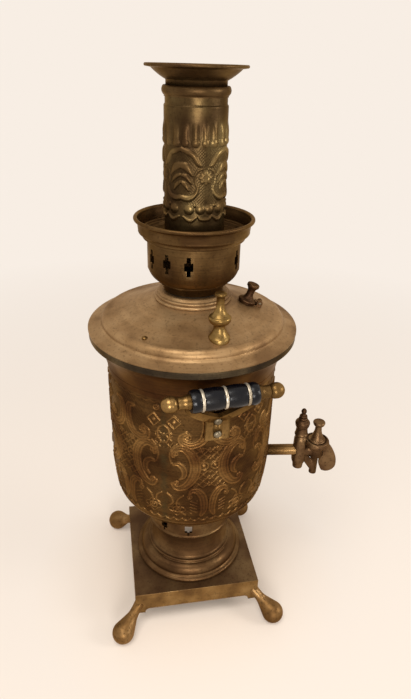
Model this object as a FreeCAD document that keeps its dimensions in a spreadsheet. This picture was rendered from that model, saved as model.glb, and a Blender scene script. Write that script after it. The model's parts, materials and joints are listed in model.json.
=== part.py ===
import FreeCAD, Part
import math
import os
import re
import Sketcher

# Samovar: a charcoal-heated urn with a fire tube up its middle, a lid, a crown bowl and a chimney pipe.
# The row frame has +Z up, its origin on the urn's axis at floor level, and the tap towards -Y.
# All lengths are in millimetres and all angles in degrees.

doc = FreeCAD.newDocument("samovar")
vec = FreeCAD.Vector

# Driving dimensions

SIZES = {
    # stand: a hollow square base with four cast feet
    "base_side": 145.2, "base_top": 48.8, "base_deck": 3.0, "base_wall": 3.0, "skirt_depth": 30.0,
    "arch_rise": 6.0, "arch_leg": 11.0, "arch_round": 5.5, "corner_block": 14.0, "air_hole": 40.0,
    "foot_ball": 12.5, "foot_slope": 20.0, "foot_spread": 125.2, "foot_flat": 1.5, "foot_tilt": 56.0,
    "foot_ankle": 5.6, "foot_root": 8.5, "foot_length": 46.0, "foot_pin": 3.0, "foot_pin_level": 26.0,
    "foot_pin_inset": 7.0, "foot_nut": 5.0, "foot_nut_height": 4.0,
    # pedestal: a spun foot between the base and the urn
    "pedestal_radius": 64.6, "pedestal_height": 60.7, "pedestal_wall": 1.6, "bead_height": 5.6,
    "bulge_radius": 59.4, "bulge_height": 18.0, "step_radius": 50.2, "waist_radius": 42.6,
    "pedestal_screw": 1.9, "pedestal_screw_ring": 60.5, "pedestal_screw_grip": 4.0, "screw_head": 3.6,
    "screw_head_height": 2.2,
    # vent collar: the pierced band that joins the pedestal to the urn
    "collar_radius": 47.8, "collar_wall": 1.4, "collar_height": 22.0, "collar_lap": 4.5, "collar_lip": 1.6,
    "spade_width": 8.4, "spade_height": 9.8, "spade_stem": 2.6, "spade_stem_height": 4.6,
    "spade_first": 97.9, "spade_step": 36.0,
    # urn body
    "body_radius": 87.5, "body_height": 223.0, "body_wall": 1.2, "floor_thickness": 1.5,
    "mouth_flare": 15.6, "flare_height": 39.0, "flare_belly": 4.5, "hip_inset": 3.5, "hip_height": 43.0,
    "slope_inset": 17.5, "slope_height": 20.5, "rim_lap": 1.4, "rim_height": 7.2, "rim_width": 3.5,
    # fire tube and grate
    "tube_radius": 27.5, "fire_radius": 36.6, "tube_wall": 1.2, "tube_rise": 18.2, "tube_drop": 12.0,
    "fire_height": 36.0, "tube_neck": 73.0, "tube_flange": 42.0, "flange_thickness": 2.0,
    "grate_lip": 3.9, "grate_thickness": 3.0, "grate_hole": 3.6, "grate_ring": 20.0,
    # lid
    "lid_lap": 0.5, "lid_wall": 1.2, "lid_edge_slope": 4.2, "lid_edge_width": 13.6,
    "lid_shoulder_width": 7.2, "lid_shoulder_height": 12.2, "lid_crown_radius": 37.8,
    "lid_rise": 27.4, "lid_skirt": 5.8, "lid_collar_height": 8.6, "lid_collar_top_radius": 33.5,
    "knob_height": 44.4, "knob_bulge": 10.1, "knob_foot": 9.8, "knob_neck": 3.6, "knob_top": 5.35,
    "knob_ring": 73.3, "knob_turn": 190.0, "knob_stud": 2.5, "knob_stud_length": 9.5, "knob_nut": 4.4,
    "knob_nut_height": 4.0, "plug_ring": 80.5, "plug_turn": 138.8, "plug_head": 2.7, "plug_pin": 1.5,
    # steam vent on the lid
    "vent_ring": 53.4, "vent_turn": 259.3, "vent_flange": 8.4, "vent_flange_height": 1.4, "vent_pipe": 4.6,
    "vent_bore": 3.0, "vent_cap_foot": 9.2, "vent_cap_waist": 3.6, "vent_cap_top": 6.2,
    "vent_cap_height": 20.6, "hinge_reach": 12.6, "hinge_level": 4.6, "hinge_pin": 1.1, "hinge_eye": 2.6,
    "hinge_ear": 1.9,
    # crown: seat, pierced drum and bowl
    "seat_sleeve": 8.0, "seat_radius": 35.2, "seat_flange": 1.2, "seat_lip": 2.0, "drum_radius": 44.4,
    "drum_foot_radius": 35.7, "drum_height": 40.5, "drum_foot_height": 10.6, "sheet_wall": 1.2,
    "slot_width": 8.3, "slot_height": 18.0, "slot_eye": 1.9, "slot_level": 24.5, "slot_first": 110.4,
    "slot_step": 27.5, "slot_group": 124.5, "bowl_ledge": 48.8, "bowl_radius": 53.4, "bowl_height": 19.6,
    "bowl_rim": 56.8, "rivet_ring": 32.2, "rivet_pin": 1.5, "rivet_head": 2.4,
    # chimney pipe
    "chimney_radius": 27.8, "chimney_wall": 1.2, "socket_depth": 12.5, "chimney_length": 131.8,
    "chimney_neck": 26.9, "neck_length": 5.4, "bead_radius": 29.6, "bead_length": 8.6, "cap_radius": 43.9,
    "cap_neck_length": 12.6, "cap_rise": 12.0, "cap_lap": 13.0, "cap_wall": 1.0,
    # handles
    "handle_turn": 6.5, "handle_standoff": 20.5, "handle_drop": 16.9, "rod_radius": 2.5, "grip_half": 31.0,
    "grip_radius": 10.6, "grip_groove": 9.4, "band_radius": 10.0, "band_half": 1.25, "band_offset": 21.0,
    "eye_radius": 6.9, "eye_width": 2.8, "ferrule_radius": 6.7, "ferrule_width": 5.8, "ball_collar": 5.8,
    "ball_collar_width": 2.8, "ball_radius": 7.4, "bracket_thickness": 4.4, "bracket_drop": 56.0,
    "pad_half": 12.0, "pad_height": 26.0, "handle_screw": 2.0, "handle_screw_head": 3.8,
    "handle_screw_gap": 15.0, "handle_nut": 3.9, "handle_nut_height": 3.0,
    # tap
    "tap_turn": 7.0, "tap_height": 66.4, "pipe_radius": 6.4, "pipe_bore": 4.2, "pipe_thread": 5.8,
    "column_standoff": 39.9, "column_radius": 8.1, "column_drop": 25.5, "column_rise": 32.0,
    "column_neck": 6.2, "finial_collar": 8.0, "finial_height": 25.0, "cock_standoff": 19.2,
    "cock_radius": 8.0, "cock_top": 5.8, "cock_depth": 13.5, "spout_radius": 4.4, "spout_bore": 2.8,
    "spout_drop": 33.4, "plug_radius": 5.2, "plug_taper": 0.5, "key_radius": 14.8, "key_height": 8.6,
    "dome_radius": 9.8, "tap_knob_height": 27.0, "tap_knob_top": 6.6, "lever_thickness": 4.6,
    "lever_length": 36.0, "lever_width": 18.0, "grub_radius": 0.8, "lock_nut": 10.5,
    "lock_nut_height": 4.5, "washer_radius": 12.0, "washer_thickness": 1.2, "tap_seat_depth": 3.3,
    # clearances
    "running_gap": 0.08, "fit_gap": 0.3, "seat_gap": 0.1, "tip_flat": 0.4,
}

# Levels and places that follow from the driving dimensions

LEVELS = {
    "pedestal_top": "base_top + pedestal_height",
    "collar_low": "pedestal_top - collar_lap",
    "body_low": "collar_low + collar_height",
    "body_top": "body_low + body_height",
    "rim_top": "body_top + rim_height",
    "hip_radius": "body_radius - hip_inset",
    "slope_radius": "body_radius - slope_inset",
    "flare_via": "body_radius + flare_belly",
    "mouth_radius": "body_radius + mouth_flare",
    "rim_radius": "mouth_radius + rim_lap",
    "lid_radius": "rim_radius + lid_lap",
    "lid_step_radius": "lid_radius - lid_edge_width",
    "lid_shoulder_radius": "lid_step_radius - lid_shoulder_width",
    "lid_shoulder": "rim_top + lid_wall + lid_shoulder_height",
    "lid_crown": "rim_top + lid_wall + lid_rise",
    "lid_slope": "(lid_crown - lid_shoulder) / (lid_shoulder_radius - lid_crown_radius)",
    "lid_angle": "atan(lid_slope)",
    "tube_top": "lid_crown + tube_rise",
    "handle_reach": "body_radius + handle_standoff",
    "handle_level": "body_top - handle_drop",
    "tap_level": "body_low + tap_height",
    "column_reach": "body_radius + column_standoff",
    "cock_reach": "column_reach + cock_standoff",
    "tube_low": "body_low - tube_drop",
    "grate_low": "tube_low + tube_wall",
    "seat_low": "tube_top - seat_sleeve",
    "seat_top": "tube_top + seat_lip",
    "drum_top": "seat_top + drum_height",
    "floor_top": "drum_top + sheet_wall",
    "bowl_top": "drum_top + bowl_height",
    "chimney_low": "drum_top - socket_depth + chimney_wall",
    "chimney_top": "chimney_low + chimney_length",
    "bore_radius": "tube_radius + fit_gap",
    "socket_radius": "chimney_radius + fit_gap",
    "foot_rise": "foot_ball - foot_flat",
    "foot_tip": "sqrt(foot_ball ^ 2 - tip_flat ^ 2)",
    "block_face": "(base_side - 2 * base_wall - corner_block) * sqrt(2) / 2",
    "handle_foot": "handle_level - bracket_drop",
    "knob_level": "lid_crown - (knob_ring - lid_crown_radius) * lid_slope",
    "vent_level": "lid_crown - (vent_ring - lid_crown_radius) * lid_slope",
    "plug_level": "lid_crown - (plug_ring - lid_crown_radius) * lid_slope",
    "column_low": "tap_level - column_drop",
    "column_top": "tap_level + column_rise",
    "key_low": "tap_level + cock_top + fit_gap",
    "key_top": "key_low + key_height",
    "spout_low": "tap_level - spout_drop",
    "grub_level": "tap_level + cock_top - 2",
}

sizes = doc.addObject("Spreadsheet::Sheet", "Sizes")
for row, (alias, number) in enumerate(SIZES.items(), start=1):
    sizes.set(f"A{row}", alias)
    sizes.set(f"B{row}", str(number))
    sizes.setAlias(f"B{row}", alias)

levels = doc.addObject("Spreadsheet::Sheet", "Levels")
WORD = re.compile(r"[a-z][a-z_0-9]*")


def bound(text):
    """The expression with each size or level named on its sheet."""
    def place(match):
        word = match.group(0)
        if word in SIZES:
            return "Sizes." + word
        return "Levels." + word if word in LEVELS else word
    return WORD.sub(place, str(text))


for row, (alias, text) in enumerate(LEVELS.items(), start=1):
    levels.set(f"A{row}", alias)
    levels.set(f"B{row}", "=" + bound(text))
    levels.setAlias(f"B{row}", alias)
doc.recompute()


def number(text):
    """The value of an expression, as a plain float."""
    found = levels.evalExpression(bound(text))
    return float(getattr(found, "Value", found))


def bind(item, **expressions):
    """Binds properties of a document object to expressions over the sheets."""
    for name, text in expressions.items():
        item.setExpression(name, bound(text))
    return item


def place(item, x="0", y="0", z="0", axis=(0, 0, 1), angle="0"):
    """Binds a placement: a turn about one axis through the item's own origin, then a shift."""
    item.Placement = FreeCAD.Placement(vec(0, 0, 0), FreeCAD.Rotation(vec(*axis), 1))
    for name, text in (("Base.x", x), ("Base.y", y), ("Base.z", z), ("Rotation.Angle", angle)):
        item.setExpression("Placement." + name, bound(text))
    return item


# Sketches and turned shapes

NODES = {}


def node(name, item):
    """Gives a finished sub-part its own name."""
    item.Label = name
    NODES[name] = item
    return item


def origin_plane(body, role):
    """One of the body's own origin planes or axes."""
    return [part for part in body.Origin.OriginFeatures if part.Role == role][0]


def fix_point(sketch, geometry, end, x, y, tag):
    """Holds one sketch point at a place given by two expressions."""
    if str(x) == "0":
        sketch.addConstraint(Sketcher.Constraint("PointOnObject", geometry, end, -2))
    else:
        k = sketch.addConstraint(Sketcher.Constraint("DistanceX", -1, 1, geometry, end, number(x)))
        sketch.renameConstraint(k, "across_" + tag)
        sketch.setExpression("Constraints.across_" + tag, bound(x))
    k = sketch.addConstraint(Sketcher.Constraint("DistanceY", -1, 1, geometry, end, number(y)))
    sketch.renameConstraint(k, "up_" + tag)
    sketch.setExpression("Constraints.up_" + tag, bound(y))


def outline(body, name, corners, plane="XZ_Plane"):
    """A closed outline. A corner is (x, y), or (x, y, via_x, via_y) where an arc through via arrives at it."""
    sketch = body.newObject("Sketcher::SketchObject", name)
    sketch.AttachmentSupport = [(origin_plane(body, plane), "")]
    sketch.MapMode = "FlatFace"
    spots = [vec(number(c[0]), number(c[1]), 0) for c in corners]
    ends = []
    for k, start in enumerate(spots):
        following = corners[(k + 1) % len(corners)]
        stop = spots[(k + 1) % len(spots)]
        if len(following) == 2:
            ends.append((sketch.addGeometry(Part.LineSegment(start, stop)), 1, 2))
            continue
        via = vec(number(following[2]), number(following[3]), 0)
        leftward = (stop - start).cross(via - start).z < 0
        first, last = (start, stop) if leftward else (stop, start)
        arc = sketch.addGeometry(Part.Arc(first, via, last))
        ends.append((arc, 1, 2) if leftward else (arc, 2, 1))
        guide = sketch.addGeometry(Part.Point(via), True)
        sketch.addConstraint(Sketcher.Constraint("PointOnObject", guide, 1, arc))
        fix_point(sketch, guide, 1, following[2], following[3], f"via_{k}")
    for k, corner in enumerate(corners):
        geometry, start, _ = ends[k]
        before, _, stop = ends[k - 1]
        sketch.addConstraint(Sketcher.Constraint("Coincident", before, stop, geometry, start))
        fix_point(sketch, geometry, start, corner[0], corner[1], str(k))
    return sketch


def blunted(corners):
    """The same outline with a small flat wherever an arc would run into the axis."""
    found = []
    for k, corner in enumerate(corners):
        following = corners[(k + 1) % len(corners)]
        if corner[0] == "0" and len(corner) == 4:
            found.append(("tip_flat", *corner[1:]))
        found.append(corner[:2] if corner[0] == "0" else corner)
        if corner[0] == "0" and len(following) == 4:
            found.append(("tip_flat", corner[1]))
    return found


def turned(name, corners):
    """A body turned about its own Z axis from a closed outline of (radius, height) corners."""
    body = doc.addObject("PartDesign::Body", name + "_body")
    sketch = outline(body, name + "_outline", blunted(corners))
    spin = body.newObject("PartDesign::Revolution", name + "_turn")
    spin.Profile = sketch
    spin.ReferenceAxis = (sketch, ["V_Axis"])
    spin.Angle = 360
    sketch.Visibility = False
    body.Tip = spin
    return body


def padded(name, corners, thickness, plane="XY_Plane"):
    """A flat body padded evenly to both sides of one of its origin planes."""
    body = doc.addObject("PartDesign::Body", name + "_body")
    pad = body.newObject("PartDesign::Pad", name + "_pad")
    pad.Profile = outline(body, name + "_outline", corners, plane)
    pad.Midplane = True
    bind(pad, Length=thickness)
    body.Tip = pad
    return body


def cylinder(name, radius, height, **where):
    """A plain cylinder, placed by expressions."""
    item = doc.addObject("Part::Cylinder", name)
    bind(item, Radius=radius, Height=height)
    return place(item, **where)


def box(name, length, width, height, **where):
    """A box centred on its own Z axis, standing on its own XY plane."""
    item = doc.addObject("Part::Box", name)
    bind(item, Length=length, Width=width, Height=height)
    return place(item, **where)


def prism(name, radius, height, **where):
    """A hexagonal prism, for nuts; the radius is to the corners."""
    item = doc.addObject("Part::Prism", name)
    item.Polygon = 6
    bind(item, Circumradius=radius, Height=height)
    return place(item, **where)


def fused(name, items):
    """The union of several shapes."""
    item = doc.addObject("Part::MultiFuse", name)
    item.Shapes = items
    return item


def cut(name, base, tool):
    """One shape cut by another."""
    item = doc.addObject("Part::Cut", name)
    item.Base = base
    item.Tool = tool
    return item


def common(name, base, tool):
    """What two shapes share."""
    item = doc.addObject("Part::Common", name)
    item.Base = base
    item.Tool = tool
    return item


def group(name, items):
    """Separate solids that share one node."""
    item = doc.addObject("Part::Compound", name)
    item.Links = items
    return item


def pierced(name, base, tools):
    """A shape cut by several tools, one after another."""
    for k, tool in enumerate(tools):
        base = cut(f"{name}_{k}", base, tool)
    return base


def lying(name, radius, start, length, level):
    """A cylinder lying along +X, from a distance off the urn's axis, at one level."""
    return cylinder(name, radius, length, x=start, z=level, axis=(0, 1, 0), angle="90")


def outward(name, items, turn):
    """Turns items made along +X about the urn's axis, so that they face one side."""
    carrier = doc.addObject("Part::Compound", name)
    carrier.Links = items
    return place(carrier, angle=turn)


def around(ring, turn):
    """The place on a ring about the urn's axis, as keyword expressions for a placement."""
    return {"x": f"({ring}) * cos({turn})", "y": f"({ring}) * sin({turn})"}


# Stand: hollow square base, arched below, with solid corner blocks for the foot pins

base_low = "base_top - skirt_depth"
half_side = "base_side / 2"
inner_side = "(base_side - 2 * base_wall)"
deck_block = box("deck_block", "base_side", "base_side", "skirt_depth", x=f"-{half_side}",
                 y=f"-{half_side}", z=base_low)
hollow = box("base_hollow", inner_side, inner_side, "skirt_depth - base_deck + 1",
             x=f"-{inner_side} / 2", y=f"-{inner_side} / 2", z=f"{base_low} - 1")
doc.recompute()
hollow_cut = doc.addObject("Part::Chamfer", "hollow_chamfer")
hollow_cut.Base = hollow
upright = [k for k, edge in enumerate(hollow.Shape.Edges, start=1)
           if abs(edge.Vertexes[0].Z - edge.Vertexes[-1].Z) > 1]
hollow_cut.Edges = [(k, number("corner_block"), number("corner_block")) for k in upright]
arch_span = "base_side - 2 * arch_leg"
arches = []
for index, along in enumerate(("XZ_Plane", "YZ_Plane")):
    arch = padded(f"arch_{index}", [
        (f"-({arch_span}) / 2", f"{base_low} - 1"),
        (f"({arch_span}) / 2", f"{base_low} - 1"),
        (f"({arch_span}) / 2", f"{base_low} + arch_rise - arch_round"),
        (f"({arch_span}) / 2 - arch_round", f"{base_low} + arch_rise",
         f"({arch_span}) / 2 - arch_round * 0.293", f"{base_low} + arch_rise - arch_round * 0.293"),
        (f"-({arch_span}) / 2 + arch_round", f"{base_low} + arch_rise"),
        (f"-({arch_span}) / 2", f"{base_low} + arch_rise - arch_round",
         f"-({arch_span}) / 2 + arch_round * 0.293", f"{base_low} + arch_rise - arch_round * 0.293"),
    ], "base_side + 2", along)
    arches.append(arch)
base_tools = [hollow_cut] + arches
base_tools.append(cylinder("air_opening", "air_hole", "base_deck + 2", z="base_top - base_deck - 1"))
for k in range(4):
    spin = str(45 + 90 * k)
    base_tools.append(cylinder(f"pedestal_hole_{k}", "pedestal_screw + fit_gap", "base_deck + 2",
                               z="base_top - base_deck - 1", **around("pedestal_screw_ring", spin)))
    base_tools.append(outward(f"pin_hole_turn_{k}", [lying(
        f"pin_hole_{k}", "foot_pin + running_gap", "base_side / 2", "base_side / 2", "foot_pin_level")], spin))
node("base_plate", cut("base_cut", deck_block, fused("base_tools_all", base_tools)))

# Feet: a pear turned about a tilted axis, cut flat on the floor and fitted to the base corner

FEET = {"foot_rear_right": 45, "foot_rear_left": 135, "foot_front_left": 225, "foot_front_right": 315}
nuts = []
for name, turn in FEET.items():
    pear = turned(name + "_pear", [
        ("0", "-foot_tip"),
        ("tip_flat", "-foot_tip"),
        ("foot_ball * cos(foot_slope)", "foot_ball * sin(foot_slope)",
         "foot_ball * cos(foot_slope * 2)", "-foot_ball * sin(foot_slope * 2)"),
        ("foot_ankle + 1.5", "foot_length * 0.37"),
        ("foot_ankle", "foot_length * 0.54", "foot_ankle + 0.42", "foot_length * 0.4535"),
        ("foot_root", "foot_length", "foot_ankle + 0.7", "foot_length * 0.78"),
        ("0", "foot_length"),
    ])
    place(pear, x="foot_spread", z="foot_rise", axis=(0, 1, 0), angle="-foot_tilt")
    below = box(name + "_floor", "foot_spread * 3", "foot_spread * 3", "foot_ball * 2",
                x="-foot_spread * 1.5", y="-foot_spread * 1.5", z="-foot_ball * 2")
    standing = cut(name + "_flat", outward(name + "_turned", [pear], str(turn)), below)
    pin = lying(name + "_pin", "foot_pin", "block_face - foot_pin_inset",
                "foot_spread - foot_ball - block_face + foot_pin_inset", "foot_pin_level")
    node(name, fused(name + "_joined", [cut(name + "_trimmed", standing, deck_block),
                                        outward(name + "_pin_turned", [pin], str(turn))]))
    blank = prism(name + "_nut_blank", "foot_nut", "foot_nut_height", x="block_face - foot_nut_height",
                  z="foot_pin_level", axis=(0, 1, 0), angle="90")
    thread = lying(name + "_nut_thread", "foot_pin + running_gap", "block_face - 20", "40", "foot_pin_level")
    nuts.append(outward(name + "_nut_turned", [cut(name + "_nut", blank, thread)], str(turn)))
node("foot_nuts", group("foot_nut_set", nuts))

# Pedestal: bead, bulge, step and waisted flare, spun in one piece

low = "base_top"
step_level = "base_top + bulge_height"
pedestal_form = turned("pedestal_form", [
    ("pedestal_radius - 1.4", low),
    ("pedestal_radius - 2.2", f"{low} + bead_height", "pedestal_radius", f"{low} + bead_height * 0.48"),
    ("bulge_radius", f"{low} + bead_height + 0.6"),
    ("step_radius", step_level, "bulge_radius - 1.9", f"{low} + bulge_height * 0.75"),
    ("step_radius - 1.8", f"{step_level} + 2.8", "step_radius + 0.2", f"{step_level} + 1.5"),
    ("step_radius - 3.6", f"{step_level} + 3.4"),
    ("collar_radius - collar_wall - fit_gap", "collar_low", "waist_radius", f"{step_level} + 20"),
    ("collar_radius - collar_wall - fit_gap", "pedestal_top"),
    ("collar_radius - collar_wall - fit_gap - pedestal_wall", "pedestal_top"),
    ("collar_radius - collar_wall - fit_gap - pedestal_wall", "collar_low"),
    ("step_radius - 3.6 - pedestal_wall", f"{step_level} + 3.4", "waist_radius - pedestal_wall",
     f"{step_level} + 20"),
    ("bulge_radius - 3.2", f"{low} + bead_height", "bulge_radius - 6.6", f"{low} + bulge_height * 0.62"),
    ("bulge_radius - 3.2", low),
])
screw_holes = [cylinder(f"flange_hole_{k}", "pedestal_screw + running_gap", "pedestal_screw_grip + 0.4 + 1",
                        z="base_top - 1", **around("pedestal_screw_ring", str(45 + 90 * k)))
               for k in range(4)]
node("pedestal", cut("pedestal_cut", pedestal_form, fused("pedestal_hole_set", screw_holes)))
screws = []
for k in range(4):
    screw = turned(f"pedestal_screw_{k}", [
        ("0", "base_top - base_deck - screw_head_height"),
        ("screw_head * 0.6", "base_top - base_deck - screw_head_height"),
        ("screw_head", "base_top - base_deck - screw_head_height * 0.4", "screw_head * 0.93",
         "base_top - base_deck - screw_head_height * 0.8"),
        ("screw_head", "base_top - base_deck"),
        ("pedestal_screw", "base_top - base_deck"),
        ("pedestal_screw", "base_top + pedestal_screw_grip"),
        ("0", "base_top + pedestal_screw_grip"),
    ])
    screws.append(place(screw, **around("pedestal_screw_ring", str(45 + 90 * k))))
node("pedestal_screws", group("pedestal_screw_set", screws))

# Vent collar: a pierced band that carries the urn and laps over the pedestal

collar_form = turned("collar_form", [
    ("collar_radius + collar_lip", "collar_low"),
    ("collar_radius", "collar_low + 3.2", "collar_radius + 0.4", "collar_low + 1.2"),
    ("collar_radius", "body_low"),
    ("collar_radius - collar_wall * 2", "body_low"),
    ("collar_radius - collar_wall * 2", "pedestal_top"),
    ("collar_radius - collar_wall", "pedestal_top"),
    ("collar_radius - collar_wall", "collar_low + 3.2"),
    ("collar_radius - collar_wall + collar_lip", "collar_low", "collar_radius - collar_wall + 0.4",
     "collar_low + 1.2"),
])
SPADES_IN_GROUP = 3
spades = []
for k in range(10):
    if k % (SPADES_IN_GROUP + 1) == SPADES_IN_GROUP:
        continue
    turn = f"spade_first + {k} * spade_step"
    top = "pedestal_top + spade_stem_height * 0.5"
    blade = box(f"spade_blade_{k}", "collar_wall * 6", "spade_width", "spade_height", z=top, angle=turn,
                x=f"(collar_radius - collar_wall * 4) * cos({turn}) + spade_width / 2 * sin({turn})",
                y=f"(collar_radius - collar_wall * 4) * sin({turn}) - spade_width / 2 * cos({turn})")
    stem = box(f"spade_stem_{k}", "collar_wall * 6", "spade_stem", "spade_stem_height",
               z=f"{top} - spade_stem_height * 0.9", angle=turn,
               x=f"(collar_radius - collar_wall * 4) * cos({turn}) + spade_stem / 2 * sin({turn})",
               y=f"(collar_radius - collar_wall * 4) * sin({turn}) - spade_stem / 2 * cos({turn})")
    spades += [blade, stem]
node("vent_collar", cut("collar_cut", collar_form, fused("spade_set", spades)))

# Urn body: conical floor, rounded hip, straight wall and flared mouth

body_form = turned("urn_form", [
    ("collar_radius", "body_low"),
    ("slope_radius", "body_low + slope_height"),
    ("hip_radius", "body_low + hip_height", "hip_radius - 4.2", "body_low + hip_height - 13"),
    ("body_radius", "body_low + hip_height + 38", "(hip_radius + body_radius) / 2 + 0.6",
     "body_low + hip_height + 19"),
    ("body_radius", "body_top - flare_height"),
    ("mouth_radius", "body_top", "flare_via", "body_top - 17"),
    ("mouth_radius - body_wall * 1.5", "body_top"),
    ("body_radius - body_wall", "body_top - flare_height", "flare_via - body_wall * 1.2", "body_top - 16.2"),
    ("body_radius - body_wall", "body_low + hip_height + 38"),
    ("hip_radius - body_wall", "body_low + hip_height + 0.6",
     "(hip_radius + body_radius) / 2 + 0.6 - body_wall", "body_low + hip_height + 19.4"),
    ("slope_radius - body_wall", "body_low + slope_height + body_wall", "hip_radius - 4.2 - body_wall",
     "body_low + hip_height - 12"),
    ("collar_radius - body_wall * 0.6", "body_low + floor_thickness"),
    ("fire_radius + fit_gap", "body_low + floor_thickness"),
    ("fire_radius + fit_gap", "body_low"),
])
HANDLE_TURNS = {"right": "handle_turn", "left": "handle_turn + 180"}
tap_angle = "270 - tap_turn"
wall_holes = []
screw_levels = ["handle_foot + 6", "handle_foot + 6 + handle_screw_gap"]
for side, turn in HANDLE_TURNS.items():
    for k, level in enumerate(screw_levels):
        hole = lying(f"{side}_wall_hole_{k}", "handle_screw + fit_gap", "body_radius * 0.8",
                     "body_radius * 0.4", level)
        wall_holes.append(outward(f"{side}_wall_hole_turn_{k}", [hole], turn))
wall_holes.append(outward("tap_wall_hole_turn", [lying(
    "tap_wall_hole", "pipe_thread + fit_gap", "body_radius * 0.8", "body_radius * 0.4", "tap_level")],
    tap_angle))
node("body_shell", cut("urn_cut", body_form, fused("wall_hole_set", wall_holes)))

node("body_rim", turned("rim_band", [
    ("rim_radius - rim_width", "body_top"),
    ("rim_radius - 0.8", "body_top"),
    ("rim_radius", "body_top + 0.8", "rim_radius - 0.23", "body_top + 0.23"),
    ("rim_radius", "rim_top - 0.6"),
    ("rim_radius - 0.6", "rim_top", "rim_radius - 0.18", "rim_top - 0.18"),
    ("rim_radius - rim_width", "rim_top"),
]))

# Fire tube and grate: the tube hangs by its flange on the urn's floor

taper_low = "tube_low + fire_height"
taper_high = "tube_top - tube_neck"
floor_level = "body_low + floor_thickness"
node("fire_tube", turned("fire_tube", [
    ("fire_radius", "tube_low"),
    ("fire_radius", floor_level),
    ("tube_flange", floor_level),
    ("tube_flange", f"{floor_level} + flange_thickness"),
    ("fire_radius", f"{floor_level} + flange_thickness"),
    ("fire_radius", taper_low),
    ("tube_radius", taper_high),
    ("tube_radius", "tube_top"),
    ("tube_radius - tube_wall", "tube_top"),
    ("tube_radius - tube_wall", taper_high),
    ("fire_radius - tube_wall", taper_low),
    ("fire_radius - tube_wall", "grate_low"),
    ("fire_radius - tube_wall - grate_lip", "grate_low"),
    ("fire_radius - tube_wall - grate_lip", "tube_low"),
]))
grate_disc = cylinder("grate_disc", "fire_radius - tube_wall - fit_gap", "grate_thickness", z="grate_low")
grate_holes = [cylinder("grate_hole_middle", "grate_hole", "grate_thickness + 2", z="grate_low - 1")]
for k in range(6):
    grate_holes.append(cylinder(f"grate_hole_{k}", "grate_hole", "grate_thickness + 2", z="grate_low - 1",
                                **around("grate_ring", str(60 * k))))
    grate_holes.append(cylinder(f"grate_slit_{k}", "grate_hole * 0.6", "grate_thickness + 2",
                                z="grate_low - 1", **around("grate_ring * 1.35", str(60 * k + 30))))
node("grate", cut("grate_cut", grate_disc, fused("grate_hole_set", grate_holes)))

# Lid: flat edge, rounded shoulder and a shallow cone up to the collar

edge_top = "rim_top + lid_wall"
skirt_radius = "rim_radius - rim_width - fit_gap"
lid_form = turned("lid_form", [
    ("lid_radius", "rim_top"),
    ("lid_radius", edge_top),
    ("lid_step_radius", f"{edge_top} + lid_edge_slope"),
    ("lid_shoulder_radius", "lid_shoulder", "lid_step_radius - 1.2", "lid_shoulder - 2.6"),
    ("lid_crown_radius", "lid_crown"),
    ("bore_radius + 0.8", "lid_crown"),
    ("bore_radius + 0.8", "lid_crown - lid_wall"),
    ("lid_crown_radius", "lid_crown - lid_wall"),
    ("lid_shoulder_radius - 0.4", "lid_shoulder - lid_wall"),
    ("lid_step_radius - 0.4", f"{edge_top} + lid_edge_slope - lid_wall", "lid_step_radius - 2.2",
     "lid_shoulder - 3.6"),
    (f"{skirt_radius} - lid_wall", "rim_top + lid_wall * 0.9"),
    (f"{skirt_radius} - lid_wall", "rim_top - lid_skirt"),
    (skirt_radius, "rim_top - lid_skirt"),
    (skirt_radius, "rim_top"),
])


def lid_cone(name, gap):
    """The solid under the lid's conical top, moved up or down by a gap, to trim what stands on it."""
    cone = doc.addObject("Part::Cone", name)
    bind(cone, Radius1="lid_shoulder_radius + 12 / lid_slope", Radius2="lid_crown_radius - 3 / lid_slope",
         Height="lid_crown - lid_shoulder + 15")
    return place(cone, z=f"lid_shoulder - 12 + ({gap})")


def on_lid(item, ring, turn, level):
    """Stands an item upright on the lid."""
    return place(item, z=level, angle=turn, **around(ring, turn))


def on_slope(name, item):
    """Sets an item square to the lid's slope where the steam vent stands."""
    tilt = doc.addObject("Part::Compound", name + "_tilt")
    tilt.Links = [item]
    place(tilt, axis=(0, 1, 0), angle="lid_angle")
    shift = doc.addObject("Part::Compound", name)
    shift.Links = [tilt]
    return place(shift, z="vent_level + seat_gap", angle="vent_turn", **around("vent_ring", "vent_turn"))


knob_turns = {"left": "knob_turn", "right": "knob_turn + 180"}
lid_holes = [cylinder(f"knob_hole_{side}", "knob_stud + fit_gap", "30", z="knob_level - 15",
                      **around("knob_ring", turn)) for side, turn in knob_turns.items()]
lid_holes.append(cylinder("plug_hole", "plug_pin + running_gap", "20", z="plug_level - 10",
                          **around("plug_ring", "plug_turn")))
lid_holes.append(on_slope("vent_hole", cylinder("vent_hole_bore", "vent_pipe + fit_gap", "16", z="-8")))
node("lid", cut("lid_cut", lid_form, fused("lid_hole_set", lid_holes)))

node("lid_collar", turned("lid_collar", [
    ("lid_crown_radius", "lid_crown"),
    ("lid_crown_radius - 0.4", "lid_crown + 3", "lid_crown_radius + 0.8", "lid_crown + 1.4"),
    ("lid_crown_radius - 1.9", "lid_crown + 3.4"),
    ("lid_crown_radius - 2.4", "lid_crown + 6", "lid_crown_radius - 1.2", "lid_crown + 4.6"),
    ("lid_collar_top_radius + 0.1", "lid_crown + 6.4"),
    ("lid_collar_top_radius", "lid_crown + lid_collar_height"),
    ("bore_radius", "lid_crown + lid_collar_height"),
    ("bore_radius", "lid_crown"),
]))

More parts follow.
